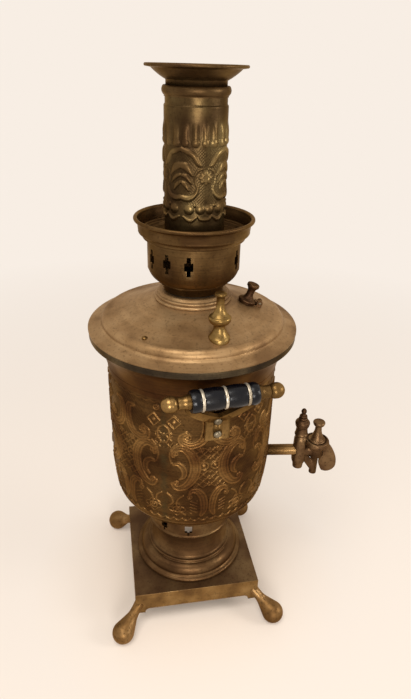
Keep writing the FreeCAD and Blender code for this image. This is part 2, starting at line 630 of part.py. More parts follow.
knob_nuts = []
for side, turn in knob_turns.items():
    knob = turned(f"knob_{side}", [
        ("0", "-knob_stud_length"),
        ("knob_stud", "-knob_stud_length"),
        ("knob_stud", "-4"),
        ("knob_foot", "-4"),
        ("knob_foot", "1.4"),
        ("knob_neck + 1.5", "knob_height * 0.24", "knob_foot * 0.72", "knob_height * 0.12"),
        ("knob_neck + 1.9", "knob_height * 0.3"),
        ("knob_bulge", "knob_height * 0.42", "knob_bulge * 0.84", "knob_height * 0.34"),
        ("knob_bulge * 0.86", "knob_height * 0.49", "knob_bulge", "knob_height * 0.46"),
        ("knob_neck", "knob_height * 0.77", "knob_neck + 1.3", "knob_height * 0.6"),
        ("knob_neck", "knob_height * 0.89"),
        ("knob_top", "knob_height * 0.925"),
        ("knob_top", "knob_height * 0.965"),
        ("0", "knob_height", "knob_top * 0.6", "knob_height * 0.99"),
    ])
    on_lid(knob, "knob_ring", turn, "knob_level")
    stud_keep = cylinder(f"knob_stud_{side}", "knob_stud", "knob_stud_length + 2", z="knob_level - knob_stud_length",
                         **around("knob_ring", turn))
    trimmed = cut(f"knob_trim_{side}", knob, lid_cone(f"knob_cone_{side}", "seat_gap"))
    node(f"lid_knob_{side}", fused(f"knob_whole_{side}", [trimmed, stud_keep]))
    blank = prism(f"knob_nut_blank_{side}", "knob_nut", "knob_nut_height + 8",
                  z="knob_level - knob_nut_height - 3", **around("knob_ring", turn))
    bored = cut(f"knob_nut_bored_{side}", blank,
                cylinder(f"knob_nut_thread_{side}", "knob_stud + running_gap", "30", z="knob_level - 15",
                         **around("knob_ring", turn)))
    knob_nuts.append(common(f"knob_nut_{side}", bored,
                            lid_cone(f"knob_nut_cone_{side}", "-lid_wall - fit_gap")))
node("lid_knob_nuts", group("knob_nut_set", knob_nuts))

plug = turned("lid_plug", [
    ("0", "-5"),
    ("plug_pin", "-5"),
    ("plug_pin", "-1.5"),
    ("plug_head", "-1.5"),
    ("plug_head", "0.6"),
    ("0", "1.8", "plug_head * 0.6", "1.5"),
])
on_lid(plug, "plug_ring", "plug_turn", "plug_level")
plug_pin = cylinder("lid_plug_pin", "plug_pin", "6", z="plug_level - 5", **around("plug_ring", "plug_turn"))
node("lid_rivet", fused("lid_plug_whole", [cut("lid_plug_trim", plug, lid_cone("plug_cone", "seat_gap")),
                                           plug_pin]))

# Steam vent: a flanged seat with two ears, and a spool-shaped cap hinged between them

cap_low = "vent_flange_height + 0.4"
seat_ring = turned("vent_seat_ring", [
    ("vent_bore", "-4.6"),
    ("vent_pipe", "-4.6"),
    ("vent_pipe", "0"),
    ("vent_flange", "0"),
    ("vent_flange", "vent_flange_height"),
    ("vent_bore", "vent_flange_height"),
])
ears = []
for k, near in enumerate(("hinge_ear", "-hinge_ear - 1.8")):
    ear = box(f"ear_foot_{k}", "hinge_reach + hinge_eye - vent_pipe - 1", "1.8", "vent_flange_height",
              x="vent_pipe + 1", y=near)
    stand = box(f"ear_stand_{k}", "hinge_eye * 2", "1.8", "hinge_level", x="hinge_reach - hinge_eye", y=near)
    eye = cylinder(f"ear_eye_{k}", "hinge_eye", "1.8", x="hinge_reach", z="hinge_level",
                   y=f"({near}) + 1.8", axis=(1, 0, 0), angle="90")
    ears += [ear, stand, eye]
pin_hole_tool = cylinder("ear_pin_hole", "hinge_pin", "20", x="hinge_reach", z="hinge_level", y="10",
                         axis=(1, 0, 0), angle="90")
seat_whole = cut("vent_seat_cut", fused("vent_seat_parts", [seat_ring] + ears), pin_hole_tool)
node("vent_seat", on_slope("vent_seat_placed", seat_whole))
spool = turned("vent_spool", [
    ("0", f"{cap_low} - 1.6"),
    ("vent_bore - 0.9", f"{cap_low} - 1.6"),
    ("vent_bore - 0.7", cap_low),
    ("vent_cap_foot - 0.4", cap_low),
    ("vent_cap_foot - 1.0", f"{cap_low} + 2.4", "vent_cap_foot", f"{cap_low} + 1.1"),
    ("vent_cap_waist", f"{cap_low} + 9.4", "vent_cap_waist + 1.4", f"{cap_low} + 4.6"),
    ("vent_cap_top", "vent_cap_height - 2.8", "vent_cap_waist + 0.5", f"{cap_low} + 13"),
    ("vent_cap_top", "vent_cap_height - 0.8"),
    ("vent_cap_top - 1.1", "vent_cap_height", "vent_cap_top - 0.3", "vent_cap_height - 0.2"),
    ("0", "vent_cap_height - 1.4", "vent_cap_top * 0.45", "vent_cap_height - 1.3"),
])
tab = box("cap_tab", "hinge_reach - vent_cap_foot + 2", "hinge_ear * 2 - fit_gap * 2", "2.6",
          x="vent_cap_foot - 2", y="fit_gap - hinge_ear", z=f"{cap_low} + 1.2")
knuckle = cylinder("cap_knuckle", "hinge_eye - 0.3", "hinge_ear * 2 - fit_gap * 2", x="hinge_reach",
                   z="hinge_level", y="hinge_ear - fit_gap", axis=(1, 0, 0), angle="90")
cap_bore = cylinder("cap_pin_hole", "hinge_pin + running_gap", "20", x="hinge_reach", z="hinge_level", y="10",
                    axis=(1, 0, 0), angle="90")
cap_whole = cut("vent_cap_cut", fused("vent_cap_parts", [spool, tab, knuckle]), cap_bore)
node("vent_cap", on_slope("vent_cap_placed", cap_whole))
hinge_rod = cylinder("vent_pin_rod", "hinge_pin", "hinge_ear * 2 + 4.4", x="hinge_reach", z="hinge_level",
                     y="hinge_ear + 2.2", axis=(1, 0, 0), angle="90")
node("vent_hinge_pin", on_slope("vent_pin_placed", hinge_rod))

# Crown: a seat that fits over the fire tube, a pierced drum on it and a bowl on top

seat_form = turned("seat_form", [
    ("bore_radius", "seat_low"),
    ("bore_radius + 1.6", "seat_low"),
    ("bore_radius + 1.6", "seat_top - seat_flange"),
    ("seat_radius", "seat_top - seat_flange"),
    ("seat_radius", "seat_top"),
    ("tube_radius - tube_wall", "seat_top"),
    ("tube_radius - tube_wall", "tube_top"),
    ("bore_radius", "tube_top"),
])
drum_form = turned("drum_form", [
    ("drum_foot_radius", "seat_top"),
    ("drum_radius - 0.6", "seat_top + drum_foot_height", "drum_foot_radius + 5.4",
     "seat_top + drum_foot_height * 0.45"),
    ("drum_radius", "seat_top + drum_foot_height + 0.8"),
    ("drum_radius", "drum_top"),
    ("drum_radius - sheet_wall", "drum_top"),
    ("drum_radius - sheet_wall", "seat_top + drum_foot_height + 1.2"),
    ("drum_foot_radius - 0.6", "seat_top + sheet_wall", "drum_foot_radius + 5.4 - sheet_wall",
     "seat_top + drum_foot_height * 0.45 + 0.8"),
    ("tube_radius - tube_wall", "seat_top + sheet_wall"),
    ("tube_radius - tube_wall", "seat_top"),
])
RIVET_TURNS = ("30", "150", "270")
rivet_holes = {part: [cylinder(f"{part}_rivet_hole_{k}", "rivet_pin + running_gap", "12", z="seat_top - 6",
                               **around("rivet_ring", turn)) for k, turn in enumerate(RIVET_TURNS)]
               for part in ("seat", "drum")}
node("crown_seat", cut("seat_cut", seat_form, fused("seat_hole_set", rivet_holes["seat"])))
slots = []
for cluster in range(3):
    for k in range(3):
        turn = f"slot_first + {cluster} * slot_group + {k} * slot_step"
        mid = "seat_top + slot_level"
        start = "(drum_radius - sheet_wall * 4)"
        plate = box(f"slot_plate_{cluster}_{k}", "sheet_wall * 8", "slot_width", "slot_height * 0.42",
                    z=f"{mid} - slot_height * 0.21", angle=turn,
                    x=f"{start} * cos({turn}) + slot_width / 2 * sin({turn})",
                    y=f"{start} * sin({turn}) - slot_width / 2 * cos({turn})")
        stem = box(f"slot_stem_{cluster}_{k}", "sheet_wall * 8", "slot_eye * 2", "slot_height",
                   z=f"{mid} - slot_height / 2", angle=turn,
                   x=f"{start} * cos({turn}) + slot_eye * sin({turn})",
                   y=f"{start} * sin({turn}) - slot_eye * cos({turn})")
        slots += [plate, stem]
node("crown_drum", cut("drum_cut", drum_form, fused("slot_set", slots + rivet_holes["drum"])))
rivets = []
for k, turn in enumerate(RIVET_TURNS):
    rivet = turned(f"crown_rivet_{k}", [
        ("0", "seat_top - seat_flange - 1.2"),
        ("rivet_head", "seat_top - seat_flange", "rivet_head * 0.8", "seat_top - seat_flange - 0.8"),
        ("rivet_pin", "seat_top - seat_flange"),
        ("rivet_pin", "seat_top + sheet_wall"),
        ("rivet_head", "seat_top + sheet_wall"),
        ("0", "seat_top + sheet_wall + 1.2", "rivet_head * 0.8", "seat_top + sheet_wall + 0.8"),
    ])
    rivets.append(place(rivet, **around("rivet_ring", turn)))
node("crown_rivets", group("crown_rivet_set", rivets))

node("crown_bowl", turned("bowl_form", [
    ("socket_radius", "drum_top"),
    ("bowl_ledge - 1.4", "drum_top"),
    ("bowl_ledge", "drum_top + 1.6", "bowl_ledge - 0.4", "drum_top + 0.5"),
    ("bowl_ledge", "drum_top + 3.6"),
    ("bowl_radius - 2.2", "drum_top + 4.6"),
    ("bowl_radius - 0.8", "drum_top + 7.0", "bowl_radius - 1.2", "drum_top + 5.3"),
    ("bowl_radius", "bowl_top - 5.2"),
    ("bowl_rim - 1.4", "bowl_top - 3.6"),
    ("bowl_rim - 1.6", "bowl_top", "bowl_rim", "bowl_top - 1.8"),
    ("bowl_rim - 3.9", "bowl_top - 2.4", "bowl_rim - 3.3", "bowl_top - 0.7"),
    ("bowl_radius - sheet_wall", "bowl_top - 5.0"),
    ("bowl_radius - 0.9 - sheet_wall", "drum_top + 7.4"),
    ("bowl_radius - 3.4 - sheet_wall", "drum_top + 5.6", "bowl_radius - 1.5 - sheet_wall",
     "drum_top + 6.0"),
    ("bowl_ledge - sheet_wall", "drum_top + 4.4"),
    ("bowl_ledge - sheet_wall", "drum_top + 2.2"),
    ("bowl_ledge - sheet_wall - 1.2", "floor_top"),
    ("socket_radius", "floor_top"),
]))
node("chimney_socket", turned("socket_form", [
    ("chimney_radius - chimney_wall * 1.8", "drum_top - socket_depth"),
    ("socket_radius + 1.6", "drum_top - socket_depth"),
    ("socket_radius + 1.6", "drum_top - sheet_wall"),
    ("socket_radius + 5", "drum_top - sheet_wall"),
    ("socket_radius + 5", "drum_top"),
    ("socket_radius", "drum_top"),
    ("socket_radius", "chimney_low"),
    ("chimney_radius - chimney_wall * 1.8", "chimney_low"),
]))

# Chimney pipe: tube, bead and flared cap

neck_inner = "chimney_neck - chimney_wall"
node("chimney_tube", turned("chimney_tube", [
    ("chimney_radius", "chimney_low"),
    ("chimney_radius", "chimney_top - neck_length - 2.6"),
    ("chimney_neck", "chimney_top - neck_length", "chimney_radius - 0.2", "chimney_top - neck_length - 0.9"),
    ("chimney_neck", "chimney_top"),
    (neck_inner, "chimney_top"),
    (neck_inner, "chimney_top - neck_length - 0.4"),
    ("chimney_radius - chimney_wall", "chimney_top - neck_length - 3"),
    ("chimney_radius - chimney_wall", "chimney_low"),
]))
cap_base = "chimney_top"
cap_throat = "chimney_top + cap_neck_length"
cap_outer = "chimney_neck - 0.7"
node("chimney_bead", turned("bead_form", [
    (f"{cap_outer} + fit_gap", cap_base),
    ("bead_radius - 2", cap_base),
    ("bead_radius - 2", f"{cap_base} + 1"),
    ("bead_radius - 1.4", f"{cap_base} + bead_length", "bead_radius", f"{cap_base} + bead_length * 0.56"),
    (f"{cap_outer} + fit_gap", f"{cap_base} + bead_length"),
]))
cap_bore = "chimney_neck - chimney_wall - fit_gap - cap_wall"
node("chimney_cap", turned("cap_form", [
    (f"{neck_inner} - fit_gap", "chimney_top - cap_lap"),
    (f"{neck_inner} - fit_gap", cap_base),
    (cap_outer, cap_base),
    (cap_outer, cap_throat),
    ("cap_radius - 5.4", f"{cap_throat} + cap_rise - 3.2", "cap_radius - 11.2", f"{cap_throat} + 4.0"),
    ("cap_radius - 1.4", f"{cap_throat} + cap_rise - 2.6"),
    ("cap_radius - 1.2", f"{cap_throat} + cap_rise", "cap_radius", f"{cap_throat} + cap_rise - 1.2"),
    ("cap_radius - 5.8", f"{cap_throat} + cap_rise - 1.4"),
    (cap_bore, f"{cap_throat} - 0.6", "cap_radius - 12.2", f"{cap_throat} + 4.8"),
    (cap_bore, "chimney_top - cap_lap"),
]))

# Handles: each is a black grip on a rod between two ball nuts, on a V-shaped cast bracket

band_places = ("-band_offset", "0", "band_offset")
screw_set = []
nut_set = []
eye_start = "grip_half + 0.2"
ferrule_start = "grip_half + 0.4 + eye_width"
collar_start = "grip_half + 0.4 + eye_width + ferrule_width"
ball_start = "grip_half + 0.4 + eye_width + ferrule_width + ball_collar_width"


def on_side(name, items, turn, lengthwise=True):
    """Puts a handle's turned pieces, made along Z, on the rod's axis of one side of the urn."""
    carrier = doc.addObject("Part::Compound", name + "_row")
    carrier.Links = items
    if lengthwise:
        place(carrier, x="handle_reach", z="handle_level", axis=(1, 0, 0), angle="90")
    outer = doc.addObject("Part::Compound", name + "_placed")
    outer.Links = [carrier]
    return place(outer, angle=turn)


for side, turn in HANDLE_TURNS.items():
    rod = cylinder(f"{side}_rod", "rod_radius", f"({ball_start} + ball_radius * 0.8) * 2",
                   z=f"-({ball_start}) - ball_radius * 0.8")
    node(f"{side}_handle_rod", on_side(f"{side}_rod", [rod], turn))
    grip_corners = [("rod_radius + running_gap", "-grip_half"), ("grip_radius - 1.4", "-grip_half")]
    cuts = ["-grip_half"]
    for middle in band_places:
        cuts += [f"{middle} - band_half - 0.1", f"{middle} + band_half + 0.1"]
    cuts.append("grip_half")
    for k in range(0, len(cuts), 2):
        if k:
            grip_corners += [("grip_groove", cuts[k]), ("grip_radius - 0.9", cuts[k])]
        grip_corners.append(("grip_radius - 0.9", cuts[k + 1], "grip_radius",
                             f"(({cuts[k]}) + ({cuts[k + 1]})) / 2"))
        if k + 2 < len(cuts):
            grip_corners.append(("grip_groove", cuts[k + 1]))
    grip_corners.append(("rod_radius + running_gap", "grip_half"))
    node(f"{side}_handle_grip", on_side(f"{side}_grip", [turned(f"{side}_grip", grip_corners)], turn))
    bands = [turned(f"{side}_band_{k}", [
        ("grip_groove + 0.05", f"{middle} - band_half"),
        ("band_radius", f"{middle} - band_half"),
        ("band_radius", f"{middle} + band_half", "band_radius + 0.35", middle),
        ("grip_groove + 0.05", f"{middle} + band_half"),
    ]) for k, middle in enumerate(band_places)]
    node(f"{side}_handle_bands", on_side(f"{side}_bands", bands, turn))
    ferrules = []
    balls = []
    for k, sign in enumerate(("", "-")):
        ferrules.append(turned(f"{side}_ferrule_{k}", [
            ("rod_radius + running_gap", f"{sign}({ferrule_start})"),
            ("ferrule_radius", f"{sign}({ferrule_start})"),
            ("ferrule_radius - 0.9", f"{sign}({ferrule_start} + ferrule_width)", "ferrule_radius - 0.9",
             f"{sign}({ferrule_start} + ferrule_width * 0.5)"),
            ("rod_radius + running_gap", f"{sign}({ferrule_start} + ferrule_width)"),
        ]))
        balls.append(turned(f"{side}_ball_{k}", [
            ("rod_radius + running_gap", f"{sign}({collar_start})"),
            ("ball_collar", f"{sign}({collar_start})"),
            ("ball_collar", f"{sign}({collar_start} + ball_collar_width * 0.8)"),
            ("ball_collar - 1", f"{sign}({ball_start})"),
            ("ball_radius", f"{sign}({ball_start} + ball_radius * 0.75)", "ball_radius * 0.93",
             f"{sign}({ball_start} + ball_radius * 0.3)"),
            ("0", f"{sign}({ball_start} + ball_radius * 1.9)", "ball_radius * 0.8",
             f"{sign}({ball_start} + ball_radius * 1.5)"),
            ("0", f"{sign}({ball_start} + ball_radius * 0.9)"),
            ("rod_radius + running_gap", f"{sign}({ball_start} + ball_radius * 0.9)"),
        ]))
    node(f"{side}_handle_ferrules", on_side(f"{side}_ferrules", ferrules, turn))
    node(f"{side}_handle_balls", on_side(f"{side}_balls", balls, turn))

    # The V plate lies in the slanted plane through the rod's axis and the foot pad.
    lean = "atan((handle_reach - body_radius - 4) / (bracket_drop - 20))"
    span = "sqrt((handle_reach - body_radius - 4)^2 + (bracket_drop - 20)^2)"
    arm_out = "(grip_half + 0.2 + eye_width)"
    arm_in = "(grip_half + 0.2)"
    vee = padded(f"{side}_vee", [
        (f"-{arm_out}", "1"),
        (f"-{arm_out}", "-grip_radius - 3"),
        ("-pad_half + 2", f"-({span}) + 4", f"-{arm_out} * 0.7", f"-({span}) * 0.66"),
        ("-pad_half + 2", f"-({span}) - 8"),
        ("pad_half - 2", f"-({span}) - 8"),
        ("pad_half - 2", f"-({span}) + 4"),
        (f"{arm_out}", "-grip_radius - 3", f"{arm_out} * 0.7", f"-({span}) * 0.66"),
        (f"{arm_out}", "1"),
        (arm_in, "1"),
        (arm_in, "-grip_radius + 2"),
        ("4", f"-({span}) * 0.72", f"{arm_out} * 0.5", f"-({span}) * 0.5"),
        ("-4", f"-({span}) * 0.72", "0", f"-({span}) * 0.76"),
        (f"-{arm_in}", "-grip_radius + 2", f"-{arm_out} * 0.5", f"-({span}) * 0.5"),
        (f"-{arm_in}", "1"),
    ], "bracket_thickness")
    upright_vee = doc.addObject("Part::Compound", f"{side}_vee_upright")
    upright_vee.Links = [vee]
    place(upright_vee, axis=(1, 0, 0), angle="90")
    turned_vee = doc.addObject("Part::Compound", f"{side}_vee_quarter")
    turned_vee.Links = [upright_vee]
    place(turned_vee, angle="90")
    leaning_vee = doc.addObject("Part::Compound", f"{side}_vee_leaning")
    leaning_vee.Links = [turned_vee]
    place(leaning_vee, x="handle_reach", z="handle_level", axis=(0, 1, 0), angle=lean)
    eyes = [cylinder(f"{side}_eye_{k}", "eye_radius", "eye_width", x="handle_reach", z="handle_level",
                     y=start, axis=(1, 0, 0), angle="90")
            for k, start in enumerate((f"-({eye_start})", f"{eye_start} + eye_width"))]
    pad = box(f"{side}_pad", "handle_reach - body_radius", "pad_half * 2", "pad_height",
              x="body_radius - 6", y="-pad_half", z="handle_foot")
    pad_front = cylinder(f"{side}_pad_front", "body_radius + 6.5", "pad_height * 3",
                         z="handle_foot - pad_height")
    pad_round = common(f"{side}_pad_round", pad, pad_front)
    blank = fused(f"{side}_bracket_blank", [leaning_vee, pad_round] + eyes)
    tools = [cylinder(f"{side}_rod_bore", "rod_radius + running_gap", "grip_half * 4", x="handle_reach",
                      z="handle_level", y="grip_half * 2", axis=(1, 0, 0), angle="90"),
             cylinder(f"{side}_wall_clear", "body_radius + fit_gap", "body_height", z="body_low"),
             cylinder(f"{side}_grip_clear", "grip_radius + fit_gap", "grip_half * 2 + 0.2",
                      x="handle_reach", z="handle_level", y="grip_half + 0.1", axis=(1, 0, 0), angle="90")]
    for k, level in enumerate(screw_levels):
        tools.append(cylinder(f"{side}_pad_hole_{k}", "handle_screw + running_gap", "body_radius",
                              x="body_radius - 10", z=level, axis=(0, 1, 0), angle="90"))
        tools.append(cylinder(f"{side}_head_room_{k}", "handle_screw_head + 0.4", "body_radius",
                              x="body_radius + 6", z=level, axis=(0, 1, 0), angle="90"))
        screw = turned(f"{side}_handle_screw_{k}", [
            ("0", "body_radius - 9"),
            ("handle_screw", "body_radius - 9"),
            ("handle_screw", "body_radius + 6"),
            ("handle_screw_head", "body_radius + 6"),
            ("handle_screw_head", "body_radius + 6.8"),
            ("0", "body_radius + 8.4", "handle_screw_head * 0.7", "body_radius + 8.0"),
        ])
        place(screw, z=level, axis=(0, 1, 0), angle="90")
        screw_set.append(on_side(f"{side}_screw_{k}", [screw], turn, False))
        blank_nut = prism(f"{side}_nut_blank_{k}", "handle_nut", "handle_nut_height",
                          x="body_radius - body_wall - handle_nut_height - 0.5", z=level, axis=(0, 1, 0),
                          angle="90")
        nut = cut(f"{side}_nut_{k}", blank_nut,
                  cylinder(f"{side}_nut_thread_{k}", "handle_screw + running_gap", "30",
                           x="body_radius - 20", z=level, axis=(0, 1, 0), angle="90"))
        nut_set.append(on_side(f"{side}_nut_{k}", [nut], turn, False))
    bracket = cut(f"{side}_bracket", blank, fused(f"{side}_bracket_tools", tools))
    node(f"{side}_handle_bracket", on_side(f"{side}_bracket", [bracket], turn, False))
node("handle_screws", group("handle_screw_set", screw_set))
node("handle_nuts", group("handle_nut_set", nut_set))

# Tap: pipe, cast column with a side barrel and spout, and a quarter-turn key with a shell lever


def on_tap(name, items):
    """Turns the tap's pieces, made along +X, to the tap's side of the urn."""
    return outward(name + "_placed", items, tap_angle)


def along_pipe(name, radius, start, length, level="tap_level"):
    """A cylinder along the tap's pipe."""
    return lying(name, radius, start, length, level)


pipe_start = "body_radius + fit_gap"
pipe_end = "column_reach - column_radius + 3"
pipe_form = fused("pipe_form", [
    along_pipe("pipe_outer", "pipe_radius", pipe_start, f"{pipe_end} - ({pipe_start})"),
    along_pipe("pipe_threaded", "pipe_thread", "body_radius - 14", "20"),
])
node("tap_pipe", on_tap("pipe", [cut("pipe_cut", pipe_form, along_pipe(
    "pipe_hole", "pipe_bore", "body_radius - 20", "column_reach"))]))
washer_start = "body_radius - body_wall - tap_seat_depth - washer_thickness"
node("tap_washer", on_tap("washer", [cut("washer_cut", along_pipe(
    "washer_disc", "washer_radius", washer_start, "washer_thickness"), along_pipe(
    "washer_hole", "pipe_thread + running_gap", "body_radius - 20", "40"))]))
nut_blank = prism("lock_nut_blank", "lock_nut", "lock_nut_height", x=f"{washer_start} - lock_nut_height",
                  z="tap_level", axis=(0, 1, 0), angle="90")
node("tap_lock_nut", on_tap("lock_nut", [cut("lock_nut_cut", nut_blank, along_pipe(
    "lock_nut_thread", "pipe_thread + running_gap", "body_radius - 30", "60"))]))

column = turned("tap_column", [
    ("0", "column_low"),
    ("column_radius - 2.4", "column_low + 1.4", "column_radius - 4.2", "column_low + 0.3"),
    ("column_radius - 1.8", "column_low + 7"),
    ("column_radius", "column_low + 17", "column_radius - 0.3", "column_low + 11"),
    ("column_radius - 0.6", "column_low + 42"),
    ("column_radius - 2.8", "column_low + 46"),
    ("column_neck + 0.9", "column_low + 50", "column_neck + 1.5", "column_low + 48"),
    ("column_neck", "column_top"),
    ("0", "column_top"),
])
place(column, x="column_reach")
cock_low = "tap_level + cock_top - cock_depth"
neck_bar = along_pipe("cock_neck", "column_neck", "column_reach", "cock_reach - column_reach",
                      level="tap_level - 0.6")
cock = cylinder("cock_barrel", "cock_radius", "cock_depth", x="cock_reach", z=cock_low)
spout = cylinder("spout_leg", "spout_radius", f"{cock_low} + 1 - spout_low", x="cock_reach", z="spout_low")
strut_run = "(cock_reach - column_reach)"
strut_fall = "(spout_drop - spout_radius - 2)"
strut = cylinder("spout_strut", "spout_radius", f"sqrt({strut_run}^2 + {strut_fall}^2)", x="column_reach",
                 z="tap_level", axis=(0, 1, 0), angle=f"90 deg + atan({strut_fall} / {strut_run})")
casting = fused("tap_casting", [column, neck_bar, cock, spout, strut])
plug_hole = turned("cock_bore", [
    ("0", f"{cock_low} + 1.5"),
    ("plug_radius - plug_taper + 0.05", f"{cock_low} + 1.5"),
    ("plug_radius + 0.05", "tap_level + cock_top"),
    ("plug_radius + 0.05", "tap_level + cock_top + 2"),
    ("0", "tap_level + cock_top + 2"),
])
place(plug_hole, x="cock_reach")
casting_tools = [
    plug_hole,
    along_pipe("pipe_seat", "pipe_radius + running_gap", "column_reach - 40", f"{pipe_end} - column_reach + 40"),
    along_pipe("water_way", "spout_bore", f"{pipe_end} - 1", "cock_reach - column_reach + column_radius - 2"),
    cylinder("spout_hole", "spout_bore", f"{cock_low} + 3 - spout_low", x="cock_reach", z="spout_low - 1"),
    cylinder("finial_thread", "column_neck - 3 + running_gap", "9", x="column_reach", z="column_top - 8"),
    along_pipe("grub_hole", "grub_radius + running_gap", "cock_reach", "20", level="grub_level"),
    cylinder("key_room", "key_radius + fit_gap", "key_height + 2", x="cock_reach", z="key_low - fit_gap"),
]
node("tap_body", on_tap("tap_body", [cut("casting_cut", casting, fused("casting_tool_set", casting_tools))]))

finial = turned("tap_finial", [
    ("0", "column_top - 7"),
    ("column_neck - 3", "column_top - 7"),
    ("column_neck - 3", "column_top"),
    ("finial_collar - 1.6", "column_top"),
    ("finial_collar", "column_top + finial_height * 0.16", "finial_collar - 0.5",
     "column_top + finial_height * 0.06"),
    ("finial_collar - 1.4", "column_top + finial_height * 0.36", "finial_collar + 0.2",
     "column_top + finial_height * 0.28"),
    ("finial_collar * 0.54", "column_top + finial_height * 0.42"),
    ("finial_collar * 0.46", "column_top + finial_height * 0.54", "finial_collar * 0.64",
     "column_top + finial_height * 0.48"),
    ("finial_collar * 0.4", "column_top + finial_height * 0.66", "finial_collar * 0.56",
     "column_top + finial_height * 0.6"),
    ("finial_collar * 0.24", "column_top + finial_height * 0.74"),
    ("0", "column_top + finial_height", "finial_collar * 0.38", "column_top + finial_height * 0.87"),
])
node("tap_finial", on_tap("finial", [place(finial, x="column_reach")]))

key_form = turned("key_form", [
    ("0", f"{cock_low} + 2"),
    ("plug_radius - plug_taper", f"{cock_low} + 2"),
    ("plug_radius", "tap_level + cock_top"),
    ("plug_radius", "key_low"),
    ("key_radius - 3.2", "key_low"),
    ("key_radius - 0.4", "key_low + key_height * 0.72", "key_radius - 0.5", "key_low + key_height * 0.28"),
    ("key_radius - 3.0", "key_top", "key_radius - 1.0", "key_top - 0.7"),
    ("dome_radius + 0.6", "key_top - 2.2", "dome_radius + 2.6", "key_top - 1.1"),
    ("0", "key_top - 2.2"),
])
key_tools = [
    cylinder("key_down_way", "spout_bore - 0.3", "cock_depth - cock_top + 2", z=f"{cock_low} - 2"),
    cylinder("key_side_way", "spout_bore - 0.8", "plug_radius * 2 + 1", y="1", z="tap_level - 0.6",
             axis=(1, 0, 0), angle="90"),
    cylinder("knob_thread", "2 + running_gap", "8", z="key_top - 8"),
]
groove = turned("key_groove", [
    ("plug_radius - 1.4", "grub_level - grub_radius - 0.3"),
    ("plug_radius + 2", "grub_level - grub_radius - 0.3"),
    ("plug_radius + 2", "grub_level + grub_radius + 0.3"),
    ("plug_radius - 1.4", "grub_level + grub_radius + 0.3"),
])
key_whole = pierced("key_cut", key_form, key_tools + [groove])
key_carrier = doc.addObject("Part::Compound", "key_carrier")
key_carrier.Links = [key_whole]
node("tap_key", on_tap("key", [place(key_carrier, x="cock_reach")]))
knob_low = "key_top - 2.2"
tap_knob = turned("tap_knob", [
    ("0", f"{knob_low} - 5"),
    ("2", f"{knob_low} - 5"),
    ("2", knob_low),
    ("dome_radius", knob_low),
    ("dome_radius - 0.6", f"{knob_low} + 3", "dome_radius + 0.3", f"{knob_low} + 1.6"),
    ("dome_radius - 1.8", f"{knob_low} + 3.6"),
    ("tap_knob_top - 2.6", f"{knob_low} + tap_knob_height * 0.55", "dome_radius - 4.2",
     f"{knob_low} + tap_knob_height * 0.34"),
    ("tap_knob_top - 3.0", f"{knob_low} + tap_knob_height * 0.78"),
    ("tap_knob_top", f"{knob_low} + tap_knob_height * 0.9", "tap_knob_top - 0.9",
     f"{knob_low} + tap_knob_height * 0.82"),
    ("tap_knob_top - 1.2", f"{knob_low} + tap_knob_height", "tap_knob_top + 0.1",
     f"{knob_low} + tap_knob_height * 0.97"),
    ("0", f"{knob_low} + tap_knob_height - 0.6"),
])
node("tap_knob", on_tap("tap_knob", [place(tap_knob, x="cock_reach")]))
lever = padded("lever", [
    ("cock_radius + 1", "key_low"),
    ("cock_radius + 1", "key_low - cock_depth - 1"),
    ("cock_radius - 1", "key_low - cock_depth - 4", "cock_radius - 0.6", "key_low - cock_depth - 2"),
    ("cock_radius + 1.4", "key_low - lever_length * 0.97", "cock_radius - 1.6",
     "key_low - lever_length * 0.78"),
    ("cock_radius + lever_width", "key_low - lever_length * 0.74", "cock_radius + lever_width * 0.66",
     "key_low - lever_length"),
    ("cock_radius + 8", "key_low", "cock_radius + lever_width * 0.86", "key_low - lever_length * 0.34"),
], "lever_thickness", "XZ_Plane")
node("tap_lever", on_tap("lever", [place(lever, x="cock_reach")]))
grub = along_pipe("grub_form", "grub_radius", "cock_reach + plug_radius - 1", "cock_radius - plug_radius + 1",
                  level="grub_level")
node("tap_grub_screw", on_tap("grub", [grub]))

# Test every object, then write one STEP file per sub-part

doc.recompute()
faulty = [item.Label for item in doc.Objects if "Invalid" in item.State or "Error" in item.State]
if faulty:
    raise RuntimeError(f"these objects failed: {faulty}")
for name, item in NODES.items():
    if item.Shape.isNull() or not item.Shape.isValid() or not item.Shape.Solids:
        raise RuntimeError(f"{name} has no valid solid")
os.makedirs("parts", exist_ok=True)
for name, item in NODES.items():
    item.Shape.exportStep(f"parts/{name}.step")
    print(f"{name}: {len(item.Shape.Solids)} solids, {item.Shape.Volume / 1000:.2f} cm3")
print(f"{len(NODES)} sub-parts written")
